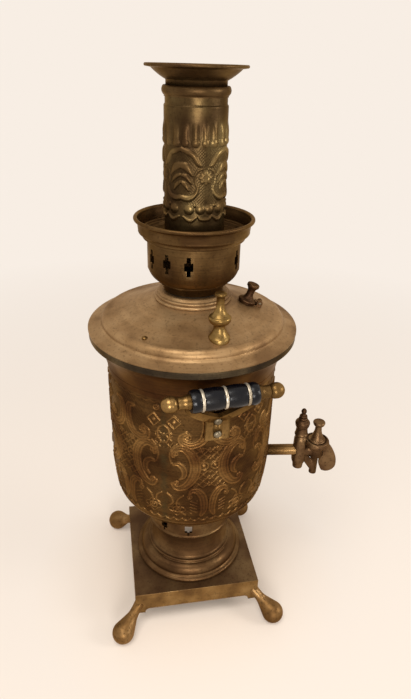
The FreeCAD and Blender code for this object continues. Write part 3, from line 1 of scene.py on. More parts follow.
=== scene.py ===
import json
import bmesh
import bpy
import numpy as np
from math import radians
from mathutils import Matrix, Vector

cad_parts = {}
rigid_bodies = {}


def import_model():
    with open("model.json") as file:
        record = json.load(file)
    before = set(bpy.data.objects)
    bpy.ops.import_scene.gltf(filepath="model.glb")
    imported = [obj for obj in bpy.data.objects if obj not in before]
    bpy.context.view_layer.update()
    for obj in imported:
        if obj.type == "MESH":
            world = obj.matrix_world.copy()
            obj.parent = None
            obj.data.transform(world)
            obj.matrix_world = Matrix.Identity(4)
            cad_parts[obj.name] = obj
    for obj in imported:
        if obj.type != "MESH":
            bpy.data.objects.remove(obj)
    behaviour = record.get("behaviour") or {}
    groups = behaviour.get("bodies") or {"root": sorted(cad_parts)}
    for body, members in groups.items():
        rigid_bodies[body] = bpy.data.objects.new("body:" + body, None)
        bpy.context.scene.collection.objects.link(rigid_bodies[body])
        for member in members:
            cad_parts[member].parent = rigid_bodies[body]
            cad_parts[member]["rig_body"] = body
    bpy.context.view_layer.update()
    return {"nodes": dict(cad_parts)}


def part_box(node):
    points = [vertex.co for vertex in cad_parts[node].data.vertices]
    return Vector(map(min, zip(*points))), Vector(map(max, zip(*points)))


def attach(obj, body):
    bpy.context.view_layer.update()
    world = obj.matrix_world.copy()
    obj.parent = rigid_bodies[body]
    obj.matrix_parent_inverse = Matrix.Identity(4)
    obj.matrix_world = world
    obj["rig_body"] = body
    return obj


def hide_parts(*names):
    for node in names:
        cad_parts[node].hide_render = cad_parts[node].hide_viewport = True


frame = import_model()

# %% [markdown]
# # A brass samovar
# A samovar is an urn that boils water round a fire tube. The measured solids are already in the
# file: they came in with the line above, in metres, standing on the floor at Z = 0. This lesson
# dresses them. It adds the embossed leaf work on the urn and the chimney pipe as new surfaces,
# and it gives every part a finish that is worked out from its place in space.

MM = 0.001
MM_PER_METRE = 1000.0
scene = bpy.context.scene

# %% [markdown]
# ## The camera
# The eye stands a little above the lid and close to the urn, so the chimney and the base both
# lean outwards. A camera could be moved by hand until the picture looks right, but small errors
# of place and lens then hide each other. Its place, turn and lens were instead worked out from
# the base's square, the round rims and the upright axis, so they are written as plain numbers.

# %% Camera
EYE_PLACE = (-0.506419, 0.080753, 0.594541)
EYE_TURN_DEGREES = (62.32620607, -1.48192351, -99.84267257)
camera_data = bpy.data.cameras.new("portrait_camera")
camera_data.lens = 28.4506
camera_data.sensor_width = 36.0
camera = bpy.data.objects.new("portrait_camera", camera_data)
camera.location = EYE_PLACE
camera.rotation_euler = [radians(turn) for turn in EYE_TURN_DEGREES]
scene.collection.objects.link(camera)
scene.camera = camera
print("camera", tuple(camera.location), "lens", camera_data.lens)

# %% [markdown]
# ## Working with nodes
# A finish is a small graph of nodes, and each node does one sum on a colour or a number. The
# graph could be drawn by hand in the shader editor. Written as short functions, each kind of
# node is set up once, and every finish below reads as a list of steps.

# %% Colours and sums
def colour(red, green, blue):
    """A screen colour of 0 to 255 turned into the linear light that Blender works in: each share
    is raised to the power 2.4 after a small shift, and very dark shares are divided by 12.92."""
    share = np.array([red, green, blue]) / 255.0
    linear = np.where(share <= 0.04045, share / 12.92, ((share + 0.055) / 1.055) ** 2.4)
    return (*linear.tolist(), 1.0)


def sum_of(nodes, links, operation, first, second):
    """One sum on two numbers, such as MULTIPLY for their product or MAXIMUM for the larger."""
    step = nodes.new("ShaderNodeMath")
    step.operation = operation
    links.new(first, step.inputs[0])
    links.new(second, step.inputs[1])
    return step.outputs[0]


def scaled(nodes, links, source, low, high, new_low, new_high):
    """A value moved from one range to another: it is held at the ends of the new range."""
    change = nodes.new("ShaderNodeMapRange")
    for socket, value in zip(change.inputs[1:5], (low, high, new_low, new_high)):
        socket.default_value = value
    links.new(source, change.inputs[0])
    return change.outputs[0]


print("white is", colour(255, 255, 255))

# %% Rays and shaders
def seen(nodes, links):
    """One where a surface is looked at, straight, in a reflection or through glass, and zero
    where it only lights something: the largest of three kinds of ray."""
    ray = nodes.new("ShaderNodeLightPath").outputs
    direct = sum_of(nodes, links, "MAXIMUM", ray["Is Camera Ray"], ray["Is Glossy Ray"])
    return sum_of(nodes, links, "MAXIMUM", direct, ray["Is Transmission Ray"])


def blended(nodes, links, share, first, second):
    """Two shaders blended by a share: none of the second at zero, all of it at one."""
    blend = nodes.new("ShaderNodeMixShader")
    for socket, source in zip(blend.inputs, (share, first, second)):
        links.new(source, socket)
    return blend.outputs[0]


print("ray helpers ready")

# %% [markdown]
# ## The pale studio
# The samovar stands in a bright, empty room. A room could be modelled, with walls and a window,
# but only its light and its reflection in the brass matter here. So the world itself is pale
# where it is seen, also in the metal, and dimmer where it only lights, which keeps some depth
# in the shadows.

# %% World
PALE = colour(248, 238, 228)
world = bpy.data.worlds.new("pale_studio")
world.use_nodes = True
scene.world = world
sky = world.node_tree.nodes
wires = world.node_tree.links
sky.clear()


def plain_sky(tone, strength):
    """A sky of one colour at one strength."""
    background = sky.new("ShaderNodeBackground")
    background.inputs["Color"].default_value = tone
    background.inputs["Strength"].default_value = strength
    return background.outputs[0]


lighting_sky = plain_sky(colour(250, 240, 228), 0.55)
seen_sky = plain_sky(PALE, 1.0)
sky_blend = blended(sky, wires, seen(sky, wires), lighting_sky, seen_sky)
wires.new(sky_blend, sky.new("ShaderNodeOutputWorld").inputs[0])
print("world nodes:", len(sky))

# %% [markdown]
# ## Lamps
# Soft studio light has no hard edge. Small lamps would leave sharp dots on polished brass, so
# the light comes from three large square panels. Metal shows what stands round it, so the
# panels also draw the long pale streaks down the round walls.

# %% Lamps
WARM_WHITE = (1.0, 0.97, 0.93)


def panel(name, place, aim, width, power):
    """A square panel lamp: it stands at a place, and its -Z axis points at the aim."""
    lamp = bpy.data.lights.new(name, "AREA")
    lamp.size = width
    lamp.energy = power
    lamp.color = WARM_WHITE
    holder = bpy.data.objects.new(name, lamp)
    holder.location = place
    toward = Vector(np.array(aim) - np.array(place))
    holder.rotation_euler = toward.to_track_quat("-Z", "Y").to_euler()
    scene.collection.objects.link(holder)


panel("ceiling_panel", (-0.55, 0.35, 1.7), (0.0, 0.0, 0.35), 0.8, 14.0)
panel("front_panel", (-1.45, 0.1, 0.5), (0.0, 0.0, 0.35), 0.55, 12.0)
panel("right_panel", (-0.55, -1.3, 0.8), (0.0, 0.0, 0.3), 0.5, 7.0)

# %% [markdown]
# ## Floor
# The samovar stands on pale cloth with no edge in sight. A large disc gives it something to
# stand on and to throw its soft shadow on. Far from the urn the disc glows in the world's own
# colour where it is seen, so that no horizon shows, and close to the base it is plain cloth.

# %% Floor
FLOOR_RADIUS = 6.0


def flat_disc(name, radius, count=96):
    """A flat disc at Z = 0: a ring of points at one radius, filled with a single face."""
    turn = np.linspace(0.0, 2.0 * np.pi, count, endpoint=False)
    points = np.stack([radius * np.cos(turn), radius * np.sin(turn), np.zeros(count)], axis=1)
    mesh = bpy.data.meshes.new(name)
    mesh.from_pydata(points.tolist(), [], [list(range(count))])
    disc = bpy.data.objects.new(name, mesh)
    scene.collection.objects.link(disc)
    return disc


floor = flat_disc("pale_floor", FLOOR_RADIUS)
print("floor radius", FLOOR_RADIUS)

# %% The floor's finish
GLOW_FADE = (0.25, 1.3, 0.5, 1.0)  # from and to so many metres away, the glow's share there
BARE_CLOTH = (0.085, 0.2, 0.0, 1.0)
floor_finish = bpy.data.materials.new("pale_cloth_floor")
floor_finish.use_nodes = True
cloth = floor_finish.node_tree.nodes
threads = floor_finish.node_tree.links
cloth_shader = cloth["Principled BSDF"]
cloth_shader.inputs["Base Color"].default_value = colour(242, 229, 216)
cloth_shader.inputs["Roughness"].default_value = 0.85
cloth_shader.inputs["Specular IOR Level"].default_value = 0.2
glow = cloth.new("ShaderNodeEmission")
glow.inputs["Color"].default_value = PALE
from_urn = cloth.new("ShaderNodeVectorMath")
from_urn.operation = "LENGTH"
threads.new(cloth.new("ShaderNodeTexCoord").outputs["Object"], from_urn.inputs[0])
metres_away = from_urn.outputs["Value"]
fade = scaled(cloth, threads, metres_away, *GLOW_FADE)
clear_of_base = scaled(cloth, threads, metres_away, *BARE_CLOTH)
shaded = sum_of(cloth, threads, "MULTIPLY", fade, clear_of_base)
glow_share = sum_of(cloth, threads, "MULTIPLY", shaded, seen(cloth, threads))
floor_blend = blended(cloth, threads, glow_share, cloth_shader.outputs[0], glow.outputs[0])
threads.new(floor_blend, cloth["Material Output"].inputs["Surface"])
floor.data.materials.append(floor_finish)
print("floor nodes:", len(cloth))

# %% [markdown]
# ## Aged brass
# Old brass is never one colour. It is golden where hands rub it and brown where tarnish stays,
# with cloudy patches a few centimetres wide, small dark specks, and the fine rings that the
# spinning lathe left. It could be painted on each part, or wrapped round it as a picture. Here
# each mark is a noise of its own size, read from the object's own coordinates, so the same
# finish fits every part, has no seam and stays in place from all sides.

# %% Noise
def noise(nodes, links, source, scale, detail, stretch=(1.0, 1.0, 1.0)):
    """A cloud of soft noise: the place is multiplied by the stretch, then by the scale."""
    mapping = nodes.new("ShaderNodeMapping")
    mapping.inputs["Scale"].default_value = stretch
    cloud = nodes.new("ShaderNodeTexNoise")
    cloud.inputs["Scale"].default_value = scale
    cloud.inputs["Detail"].default_value = detail
    links.new(source, mapping.inputs["Vector"])
    links.new(mapping.outputs[0], cloud.inputs["Vector"])
    return cloud.outputs["Fac"]


print("noise helper ready")

# %% Ramps and mixes
def ramp(nodes, links, source, stops):
    """A colour ramp: each stop is a position from 0 to 1 and a colour."""
    bar = nodes.new("ShaderNodeValToRGB")
    while len(bar.color_ramp.elements) < len(stops):
        bar.color_ramp.elements.new(0.5)
    for element, (position, tone) in zip(bar.color_ramp.elements, stops):
        element.position = position
        element.color = tone
    links.new(source, bar.inputs[0])
    return bar.outputs[0]


def mixed(nodes, links, share, first, second, kind="MIX"):
    """Two colours mixed by a share: MIX lays the second over the first, and MULTIPLY takes their
    product. Each of the three may be a plain value or come from another node."""
    mix = nodes.new("ShaderNodeMix")
    mix.data_type = "RGBA"
    mix.blend_type = kind
    mix.clamp_factor = True
    for socket, value in ((mix.inputs[0], share), (mix.inputs[6], first), (mix.inputs[7], second)):
        if isinstance(value, (float, tuple)):
            socket.default_value = value
        else:
            links.new(value, socket)
    return mix.outputs[2]


print("colour helpers ready")

# %% A blank finish and its dents
DENT_STRENGTH = 0.12
DENT_HEIGHT = 0.4 * MM


def blank_finish(name):
    """A new material with its nodes, its links, its shader and the place on the object."""
    finish = bpy.data.materials.new(name)
    finish.use_nodes = True
    nodes = finish.node_tree.nodes
    place = nodes.new("ShaderNodeTexCoord").outputs["Object"]
    return finish, nodes, finish.node_tree.links, nodes["Principled BSDF"], place


def dented(nodes, links, shader, height):
    """Shallow dents: the light falls as if the surface stood higher where the height is more."""
    dent = nodes.new("ShaderNodeBump")
    dent.inputs["Strength"].default_value = DENT_STRENGTH
    dent.inputs["Distance"].default_value = DENT_HEIGHT
    links.new(height, dent.inputs["Height"])
    links.new(dent.outputs[0], shader.inputs["Normal"])


print("dents of", DENT_HEIGHT, "m")

# %% Painted shade and highlight on the relief
# Painted light: the low ground is painted darker as shade, and the raised work is painted brighter as
# a highlight.
RELIEF_PAINTED_LIGHT = [
    (0.0, (0.42, 0.38, 0.34, 1.0)), (0.35, (0.85, 0.83, 0.8, 1.0)), (1.0, (1.65, 1.6, 1.5, 1.0)),
]
STAIN_GREEN = colour(52, 50, 32)
BLOTCH_SCALE = 70.0
BLOTCH_RANGE = (0.4, 0.6, 0.1, 0.9)


def attribute(nodes, name):
    """A number that the mesh carries at each of its points, by name."""
    reader = nodes.new("ShaderNodeAttribute")
    reader.attribute_name = name
    return reader.outputs["Fac"]


def relief_painted_light_and_stain(nodes, links, place, tone):
    """The tone times a painted light picked by the piece's relief attribute: painted shade on the low
    ground and a painted highlight on the raised parts, with green laid over it by the stain
    attribute times a blotch."""
    shade = ramp(nodes, links, attribute(nodes, "relief"), RELIEF_PAINTED_LIGHT)
    tone = mixed(nodes, links, 1.0, tone, shade, "MULTIPLY")
    blotch = scaled(nodes, links, noise(nodes, links, place, BLOTCH_SCALE, 4.0), *BLOTCH_RANGE)
    wash = sum_of(nodes, links, "MULTIPLY", attribute(nodes, "stain"), blotch)
    return mixed(nodes, links, wash, tone, STAIN_GREEN)


print("relief shades:", len(RELIEF_PAINTED_LIGHT))

# %% The brass finish
EDGE_TINT = (0.78, 0.6, 0.42, 1.0)
CLOUD_STOPS = (0.34, 0.5, 0.68)
CLOUD_RANGE = (0.3, 0.7)
SPECK_SCALE, SPECK_RANGE, SPECK_SHADE = 420.0, (0.55, 0.72), 0.45
RING_SCALE, RING_RANGE, RING_STRETCH = 6.0, (0.35, 0.65), (1.0, 1.0, 160.0)


def aged_brass(name, dark, middle, light, rough=(0.3, 0.5), metal=0.85, rings=0.25, speck=0.5,
               cloud_size=30.0, relief=False):
    """Aged brass from three screen colours: a cloud noise picks between them, a finer noise lays
    dark specks over it, and a noise squeezed along Z draws the lathe's fine rings. The darkest
    clouds are the roughest."""
    finish, nodes, links, shader, place = blank_finish(name)
    dark, middle, light = colour(*dark), colour(*middle), colour(*light)
    cloud = noise(nodes, links, place, cloud_size, 5.0)
    tone = ramp(nodes, links, cloud, list(zip(CLOUD_STOPS, (dark, middle, light))))
    freckle = noise(nodes, links, place, SPECK_SCALE, 3.0)
    spots = scaled(nodes, links, freckle, *SPECK_RANGE, 0.0, speck)
    tone = mixed(nodes, links, spots, tone, tuple(SPECK_SHADE * c for c in dark[:3]) + (1.0,))
    ring = noise(nodes, links, place, RING_SCALE, 2.0, RING_STRETCH)
    ring_shade = scaled(nodes, links, ring, *RING_RANGE, 1.0 - rings, 1.0 + rings * 0.4)
    tone = mixed(nodes, links, 1.0, tone, ring_shade, "MULTIPLY")
    if relief:
        # The painted shade and painted highlight of the relief are multiplied into the tone here.
        tone = relief_painted_light_and_stain(nodes, links, place, tone)
    links.new(tone, shader.inputs["Base Color"])
    roughness = scaled(nodes, links, cloud, *CLOUD_RANGE, rough[1], rough[0])
    links.new(roughness, shader.inputs["Roughness"])
    shader.inputs["Metallic"].default_value = metal
    shader.inputs["Specular Tint"].default_value = EDGE_TINT
    dented(nodes, links, shader, mixed(nodes, links, 0.5, freckle, ring))
    return finish


print("specks about", round(1.0 / SPECK_SCALE / MM, 1), "mm apart")

# %% [markdown]
# ## One finish for each way of making
# Each group of parts aged in its own way. The lid was spun and is rubbed bright, the cast feet
# are golden, the rim is nearly black, and the fire tube is sooty iron. One finish could serve
# them all, but then the samovar would look like one casting. So each group has a dark, a middle
# and a light tone, and its own roughness, rings and specks.

# %% Spun and embossed brass
lid_brass = aged_brass(
    "lid_brass", (112, 84, 54), (140, 110, 74), (160, 130, 92), (0.38, 0.55), metal=0.6, rings=0.1)
body_brass = aged_brass(
    "embossed_body_brass", (68, 42, 20), (93, 65, 34), (120, 91, 53), (0.34, 0.5), relief=True)
plain_brass = aged_brass("plain_body_brass", (56, 31, 13), (68, 41, 18), (84, 55, 27))
tube_brass = aged_brass(
    "embossed_pipe_brass", (56, 40, 23), (80, 63, 38), (106, 90, 58), (0.3, 0.42), rings=0.06,
    relief=True)
pipe_top_brass = aged_brass("pipe_cap_brass", (58, 40, 23), (78, 58, 34), (100, 80, 50), rings=0.1)
drum_brass = aged_brass("crown_brass", (62, 42, 22), (80, 58, 32), (104, 80, 48), rings=0.15)
plate_brass = aged_brass(
    "base_plate_brass", (72, 49, 30), (90, 66, 42), (112, 88, 58), (0.4, 0.55), metal=0.7,
    rings=0.04)
# The base's upright skirt: the base brass painted brighter, as painted light.
lit_skirt_brass = aged_brass(
    "base_skirt_painted_light_brass", (92, 66, 36), (122, 92, 52), (146, 116, 72), (0.36, 0.52), metal=0.75,
    rings=0.04, cloud_size=40.0)
pedestal_brass = aged_brass("pedestal_brass", (64, 43, 24), (84, 60, 36), (108, 84, 54), rings=0.15)
rim_brass = aged_brass("dark_rim_brass", (40, 33, 26), (58, 49, 37), (92, 79, 58), (0.3, 0.42))
print("spun finishes ready, the lid's is", lid_brass.name)

# %% Cast and turned parts, fixings and iron
foot_brass = aged_brass(
    "cast_foot_brass", (88, 62, 34), (114, 84, 48), (140, 110, 72), (0.4, 0.56), rings=0.04,
    speck=0.8, cloud_size=45.0)
knob_brass = aged_brass(
    "turned_knob_brass", (88, 66, 34), (118, 92, 50), (150, 124, 76), (0.26, 0.4), rings=0.15)
tap_brass = aged_brass(
    "tarnished_tap_brass", (58, 38, 24), (88, 64, 42), (122, 96, 66), (0.34, 0.5), rings=0.08,
    speck=0.7)
pipe_brass = aged_brass(
    "tap_pipe_brass", (92, 66, 36), (122, 92, 54), (150, 118, 76), (0.3, 0.42), rings=0.1)
bracket_brass = aged_brass(
    "bracket_brass", (74, 54, 30), (106, 80, 44), (140, 110, 66), (0.28, 0.42), rings=0.05)
fixing_steel = aged_brass(
    "dull_fixing_metal", (84, 76, 62), (112, 102, 84), (136, 126, 106), (0.35, 0.5), rings=0.1)
fire_iron = aged_brass(
    "sooty_iron", (22, 20, 18), (30, 27, 24), (44, 40, 35), (0.55, 0.75), metal=0.3, rings=0.1)
print("brass finishes:", len([m for m in bpy.data.materials if "brass" in m.name]))

# %% [markdown]
# ## Black grip
# The grips are turned wood, blackened and varnished, with three pale bands on each. A plain
# glossy black would look like plastic. Varnish is a clear coat over a rough dark body, so the
# finish has both layers, brown wear patches, and dents stretched along the wood's fibres.

# %% The grip finish
def black_varnish(name):
    """Black wood under varnish: near black with brown wear patches, a clear coat, and a shallow
    bump of fibres, which is a noise squeezed across the grip."""
    finish, nodes, links, shader, place = blank_finish(name)
    wear = noise(nodes, links, place, 90.0, 5.0)
    stops = [(0.45, colour(4, 5, 11)), (0.66, colour(9, 8, 10)), (0.82, colour(44, 32, 24))]
    links.new(ramp(nodes, links, wear, stops), shader.inputs["Base Color"])
    links.new(scaled(nodes, links, wear, 0.4, 0.7, 0.2, 0.45), shader.inputs["Roughness"])
    shader.inputs["Specular IOR Level"].default_value = 0.2
    shader.inputs["Coat Weight"].default_value = 0.12
    shader.inputs["Coat Roughness"].default_value = 0.06
    dented(nodes, links, shader, noise(nodes, links, place, 60.0, 4.0, (6.0, 1.0, 6.0)))
    return finish


grip_varnish = black_varnish("blackened_grip")
pale_band = aged_brass(
    "pale_grip_band", (150, 138, 118), (186, 176, 158), (210, 202, 186), (0.3, 0.45), metal=0.6,
    rings=0.1)
print("materials in the file:", len(bpy.data.materials))

# %% [markdown]
# ## Turned surfaces
# Most of a samovar is turned or spun, so its shape is a profile carried round the upright axis.
# Blender's screw modifier could do this, but it can't press a pattern into the wall. A grid of
# points can: the profile is a closed loop, up the outside and down the inside of the sheet, and
# the leaf work moves its outer points before the mesh is made. As the first and last rows are
# joined and so are the first and last columns, the wall has no open edge.

# %% Arcs
def arc_points(start, via, end, step):
    """Points on the circle through three points, evenly spaced by angle: the centre is where the
    middle lines of two chords cross."""
    (ax, ay), (bx, by), (cx, cy) = start, via, end
    a_square, b_square, c_square = ax**2 + ay**2, bx**2 + by**2, cx**2 + cy**2
    twice_area = 2.0 * (ax * (by - cy) + bx * (cy - ay) + cx * (ay - by))
    middle_x = (a_square * (by - cy) + b_square * (cy - ay) + c_square * (ay - by)) / twice_area
    middle_y = (a_square * (cx - bx) + b_square * (ax - cx) + c_square * (bx - ax)) / twice_area
    radius = np.hypot(ax - middle_x, ay - middle_y)
    first = np.arctan2(ay - middle_y, ax - middle_x)
    sweep = np.mod(np.arctan2(cy - middle_y, cx - middle_x) - first, 2.0 * np.pi)
    if np.mod(np.arctan2(by - middle_y, bx - middle_x) - first, 2.0 * np.pi) > sweep:
        sweep -= 2.0 * np.pi
    turn = first + np.linspace(0.0, sweep, max(3, int(np.ceil(abs(sweep) * radius / step)) + 1))
    return np.stack([middle_x + radius * np.cos(turn), middle_y + radius * np.sin(turn)], axis=1)


print("a quarter circle:", len(arc_points((1.0, 0.0), (0.6, 0.8), (0.0, 1.0), 0.1)), "points")

# %% Profiles
def line_points(start, end, step):
    """Points on a straight line, evenly spaced: a share of the end plus the rest of the start."""
    length = np.hypot(end[0] - start[0], end[1] - start[1])
    share = np.linspace(0.0, 1.0, max(2, int(np.ceil(length / step)) + 1))[:, None]
    return np.array(start) * (1.0 - share) + np.array(end) * share


def profile(corners, step):
    """An open outline through corners of (radius, height) in millimetres. A corner with four
    numbers is reached by an arc whose middle point is the last two."""
    runs = [np.array([corners[0][:2]])]
    for before, corner in zip(corners, corners[1:]):
        if len(corner) == 4:
            runs.append(arc_points(before[:2], corner[2:], corner[:2], step)[1:])
        else:
            runs.append(line_points(before[:2], corner, step)[1:])
    return np.concatenate(runs)


URN_CORNERS = [(47.8, 127.0), (70.0, 147.5), (84.0, 170.0, 79.8, 157.0),
               (87.5, 208.0, 86.35, 189.0), (87.5, 311.0), (103.1, 350.0, 92.0, 333.0)]
OUTLINE_STEP = 0.5
urn_outer = profile(URN_CORNERS, OUTLINE_STEP)
print("urn outline points:", len(urn_outer))

# %% Grids
SHARP_ANGLE = radians(50)


def ring_mesh(name, points, values):
    """A closed wall from a grid of points: row by row round the axis, every point is joined to
    the next in its row and in its column, and the last row and column join the first."""
    rows, columns, _ = points.shape
    index = np.arange(rows * columns).reshape(rows, columns)
    beside = np.roll(index, -1, axis=1)
    above = np.roll(index, -1, axis=0)
    corner = np.roll(beside, -1, axis=0)
    faces = np.stack([index, beside, corner, above], axis=-1).reshape(-1, 4)
    mesh = bpy.data.meshes.new(name)
    mesh.vertices.add(rows * columns)
    mesh.vertices.foreach_set("co", (points.reshape(-1) * MM).astype(np.float32))
    mesh.loops.add(faces.size)
    mesh.loops.foreach_set("vertex_index", faces.reshape(-1).astype(np.int32))
    mesh.polygons.add(len(faces))
    mesh.polygons.foreach_set("loop_start", np.arange(0, faces.size, 4, dtype=np.int32))
    mesh.update(calc_edges=True)
    for key, value in values.items():
        layer = mesh.attributes.new(key, "FLOAT", "POINT")
        layer.data.foreach_set("value", value.reshape(-1).astype(np.float32))
    mesh.shade_smooth()
    mesh.set_sharp_from_angle(angle=SHARP_ANGLE)
    piece = bpy.data.objects.new(name, mesh)
    scene.collection.objects.link(piece)
    print(name, "quads:", len(faces))
    return piece


print("edges are sharp from", round(float(np.degrees(SHARP_ANGLE))), "degrees")

# %% Spun walls
def spun_wall(name, outer, inner, columns, height=None, mark=None):
    """A spun wall: the outer outline runs upwards, the inner outline comes back down, and the
    height function moves the outer points along the radius. Its second value, the share of painted
    shade and highlight, is kept as the relief attribute. Angles are in radians from +X."""
    turn = np.linspace(0.0, 2.0 * np.pi, columns, endpoint=False)
    loop = np.concatenate([outer, inner[::-1]])
    radius = np.repeat(loop[:, :1], columns, axis=1)
    level = np.repeat(loop[:, 1:], columns, axis=1)
    angle = np.repeat(turn[None, :], len(loop), axis=0)
    relief = np.zeros_like(radius)
    stain = np.zeros_like(radius)
    outside = slice(0, len(outer))
    if height is not None:
        lift, relief[outside] = height(angle[outside], level[outside])
        radius[outside] += lift
    if mark is not None:
        stain[outside] = mark(angle[outside], level[outside])
    points = np.stack([radius * np.cos(angle), radius * np.sin(angle), level], axis=-1)
    return ring_mesh(name, points, {"relief": relief, "stain": stain})


print("wall helper ready")

# %% [markdown]
# ## Drawing the leaf work
# The urn's leaves are pressed from inside over a pattern block. They could be sculpted by hand,
# or read from a height picture. Here each leaf is a curved stroke whose width swells and thins,
# which stays sharp at any size and can be changed by one number. The distance from any point of
# the sheet to the stroke's edge says how high the metal stands, and so how much painted highlight
# it gets: a tall outline at the edge, a thinner line inside it, and a broad dome between.

# %% Strokes
def smooth_path(points, widths, count):
    """A smooth path through points (Catmull-Rom: each piece bends by its neighbours), with the
    stroke's half width carried along. The last sample stops just short of the last knot."""
    knots = np.column_stack([np.array(points, float), np.array(widths, float)])
    knots = np.vstack([2 * knots[0] - knots[1], knots, 2 * knots[-1] - knots[-2]])
    share = np.linspace(0.0, len(knots) - 3 - 1e-6, count)
    k = share.astype(int)
    t = (share - k)[:, None]
    a, b, c, d = knots[k], knots[k + 1], knots[k + 2], knots[k + 3]
    square, cube = 2 * a - 5 * b + 4 * c - d, 3 * b - a - 3 * c + d
    return 0.5 * (2 * b + (c - a) * t + square * t**2 + cube * t**3)


STROKE_SAMPLES, LINE_SAMPLES = 44, 36
FAR_AWAY = 99.0


def stroke_gap(x, z, points, widths, count=STROKE_SAMPLES):
    """The distance from each place to the edge of a stroke: negative inside it. It is the least,
    over the path's samples, of the distance to the sample minus the half width there."""
    gap = np.full(x.shape, FAR_AWAY)
    for px, pz, width in smooth_path(points, widths, count):
        gap = np.minimum(gap, np.hypot(x - px, z - pz) - width)
    return gap


print("a stroke is sampled at", STROKE_SAMPLES, "places")

# %% Heights
def ridge(distance, width):
    """A rounded ridge: one at the middle, falling smoothly to nothing at the width."""
    return np.clip(1.0 - (distance / width) ** 2, 0.0, 1.0) ** 2


def leaf_height(gap):
    """A leaf's height from its edge distance: a bold outline, a thinner line inside it, and a
    broad dome between them."""
    outline = 0.75 * ridge(gap + 0.7, 1.5)
    inner_line = 0.4 * ridge(gap + 3.6, 1.2)
    dome = 0.4 * np.clip(-gap / 4.0, 0.0, 1.0)
    return outline + inner_line + dome


def swell(gap, width):
    """A soft pressed form with no outline: it rises as a parabola from its edge to its middle."""
    share = np.clip(-gap / width, 0.0, 1.0)
    return share * (2.0 - share)


print("a leaf's edge stands", round(float(leaf_height(np.array(-0.7))), 2), "high")

# %% Bosses, lines and grounds
def boss_height(x, z, px, pz, radius):
    """A round boss: a raised ring at its radius and a domed button in the middle."""
    away = np.hypot(x - px, z - pz)
    return np.maximum(0.8 * ridge(away - radius + 0.7, 1.2), 0.9 * ridge(away, radius * 0.55))


def line_height(x, z, points, width, tall):
    """A thin raised line along a path: a ridge over the distance to it."""
    return tall * ridge(stroke_gap(x, z, points, [0.0] * len(points), LINE_SAMPLES), width)


def pebbles(x, z, size, depth):
    """A punched ground: two crossed waves of one size, which leave rows of small round pits."""
    return depth * np.sin(x * np.pi / size) * np.sin(z * np.pi / size)


def between(z, low, high, low_fade, high_fade):
    """One between two levels, falling in a straight line to zero over a fade at each of them."""
    return np.clip((z - low) / low_fade, 0.0, 1.0) * np.clip((high - z) / high_fade, 0.0, 1.0)


print("a boss's middle stands", float(boss_height(np.zeros(1), np.zeros(1), 0.0, 0.0, 3.0)[0]), "high")

# %% [markdown]
# ## The urn's pattern
# Six upright leaf axes stand round the urn, and the work repeats between them, mirrored left
# and right. Every stroke could be placed twelve times. It is simpler to fold the sheet like
# paper, so one half cell is drawn and all the others follow. AXIS marks count millimetres from
# the nearest leaf axis, VALLEY marks from the middle between two axes, and all count upwards
# from the floor.

# %% The urn's marks
LEAF_TURN = radians(153.64)
LEAF_PERIOD = radians(60.0)
SHEET_RADIUS = 87.5
HALF_CELL = SHEET_RADIUS * LEAF_PERIOD / 2.0
AXIS, VALLEY = 0, 1
URN_LEAVES = [  # side, path, half widths
    (AXIS, [(9.5, 253.5), (11, 260.5), (18.5, 263.5), (26.5, 257.5), (31, 247), (31.5, 236),
            (28, 225), (21, 216), (13, 213.5), (9, 218.5)], [2.2, 3, 4, 5, 5.5, 5.5, 5, 4, 3, 2.2]),
    (AXIS, [(10, 243), (15, 243.5), (20, 238), (20.5, 230), (16, 225)], [1.5, 2.5, 3, 2.5, 1]),
    (VALLEY, [(19.7, 206.5), (17, 210.5), (11.5, 210), (6.5, 203), (4.5, 193), (4.5, 183),
              (7, 175)], [1.5, 2.5, 3.5, 4, 4, 3.5, 2]),
    (VALLEY, [(12.5, 300.5), (7, 299), (4.2, 292), (4.2, 283), (7, 274), (13, 268.5), (21, 267),
              (27.5, 270.5), (28.5, 277), (24, 281)], [2, 3, 4, 4.5, 4.5, 4, 4, 3.5, 2.8, 2]),
]
URN_BOSSES = [  # side, across, level, radius
    (AXIS, 11.7, 256.7, 3.2), (AXIS, 12.4, 220.0, 3.0), (AXIS, 23.3, 276.7, 4.2),
    (AXIS, 7.3, 306.7, 3.2), (AXIS, 13.0, 184.0, 4.6), (VALLEY, 19.5, 202.5, 3.0),
    (VALLEY, 23.6, 277.0, 3.0), (VALLEY, 5.8, 241.7, 5.0), (VALLEY, 8.8, 261.7, 3.0),
]
URN_LINES = [  # side, path, width, height
    (AXIS, [(3, 205), (8, 200), (9, 193), (5, 189)], 1.5, 0.8),
    (VALLEY, [(26, 204), (31, 199), (33, 191), (30, 182), (24, 176)], 1.5, 0.8),
    (AXIS, [(2.5, 268), (6, 276), (5, 284), (0.5, 288)], 1.5, 0.8),
    (VALLEY, [(33, 268), (38, 262), (40, 252), (38, 244)], 1.4, 0.7),
]
print("half cell", round(HALF_CELL, 2), "mm, marks:", len(URN_LEAVES + URN_BOSSES + URN_LINES))

# %% The urn's small figures
FLOWER = (13.0, 184.0)
DIAMOND = (10.2, 292.5)
SCALLOP_WIDTH, LATTICE_WIDTH, COMB_WIDTH = 9.16, 8.4, 4.4
FOOT_LINE, FOOT_SCALLOPS, TOP_SCALLOPS = 161.0, 170.5, 311.5
LATTICE_WINDOWS = [  # side, reach across, low, high
    (VALLEY, 17.0, 246.0, 264.0), (VALLEY, 17.0, 215.0, 236.0), (AXIS, 9.0, 262.0, 282.0),
]


def bars(place, width, thick):
    """Raised bars side by side: a ridge over the distance to the middle of each width."""
    return ridge(np.mod(place, width) - width / 2.0, thick)


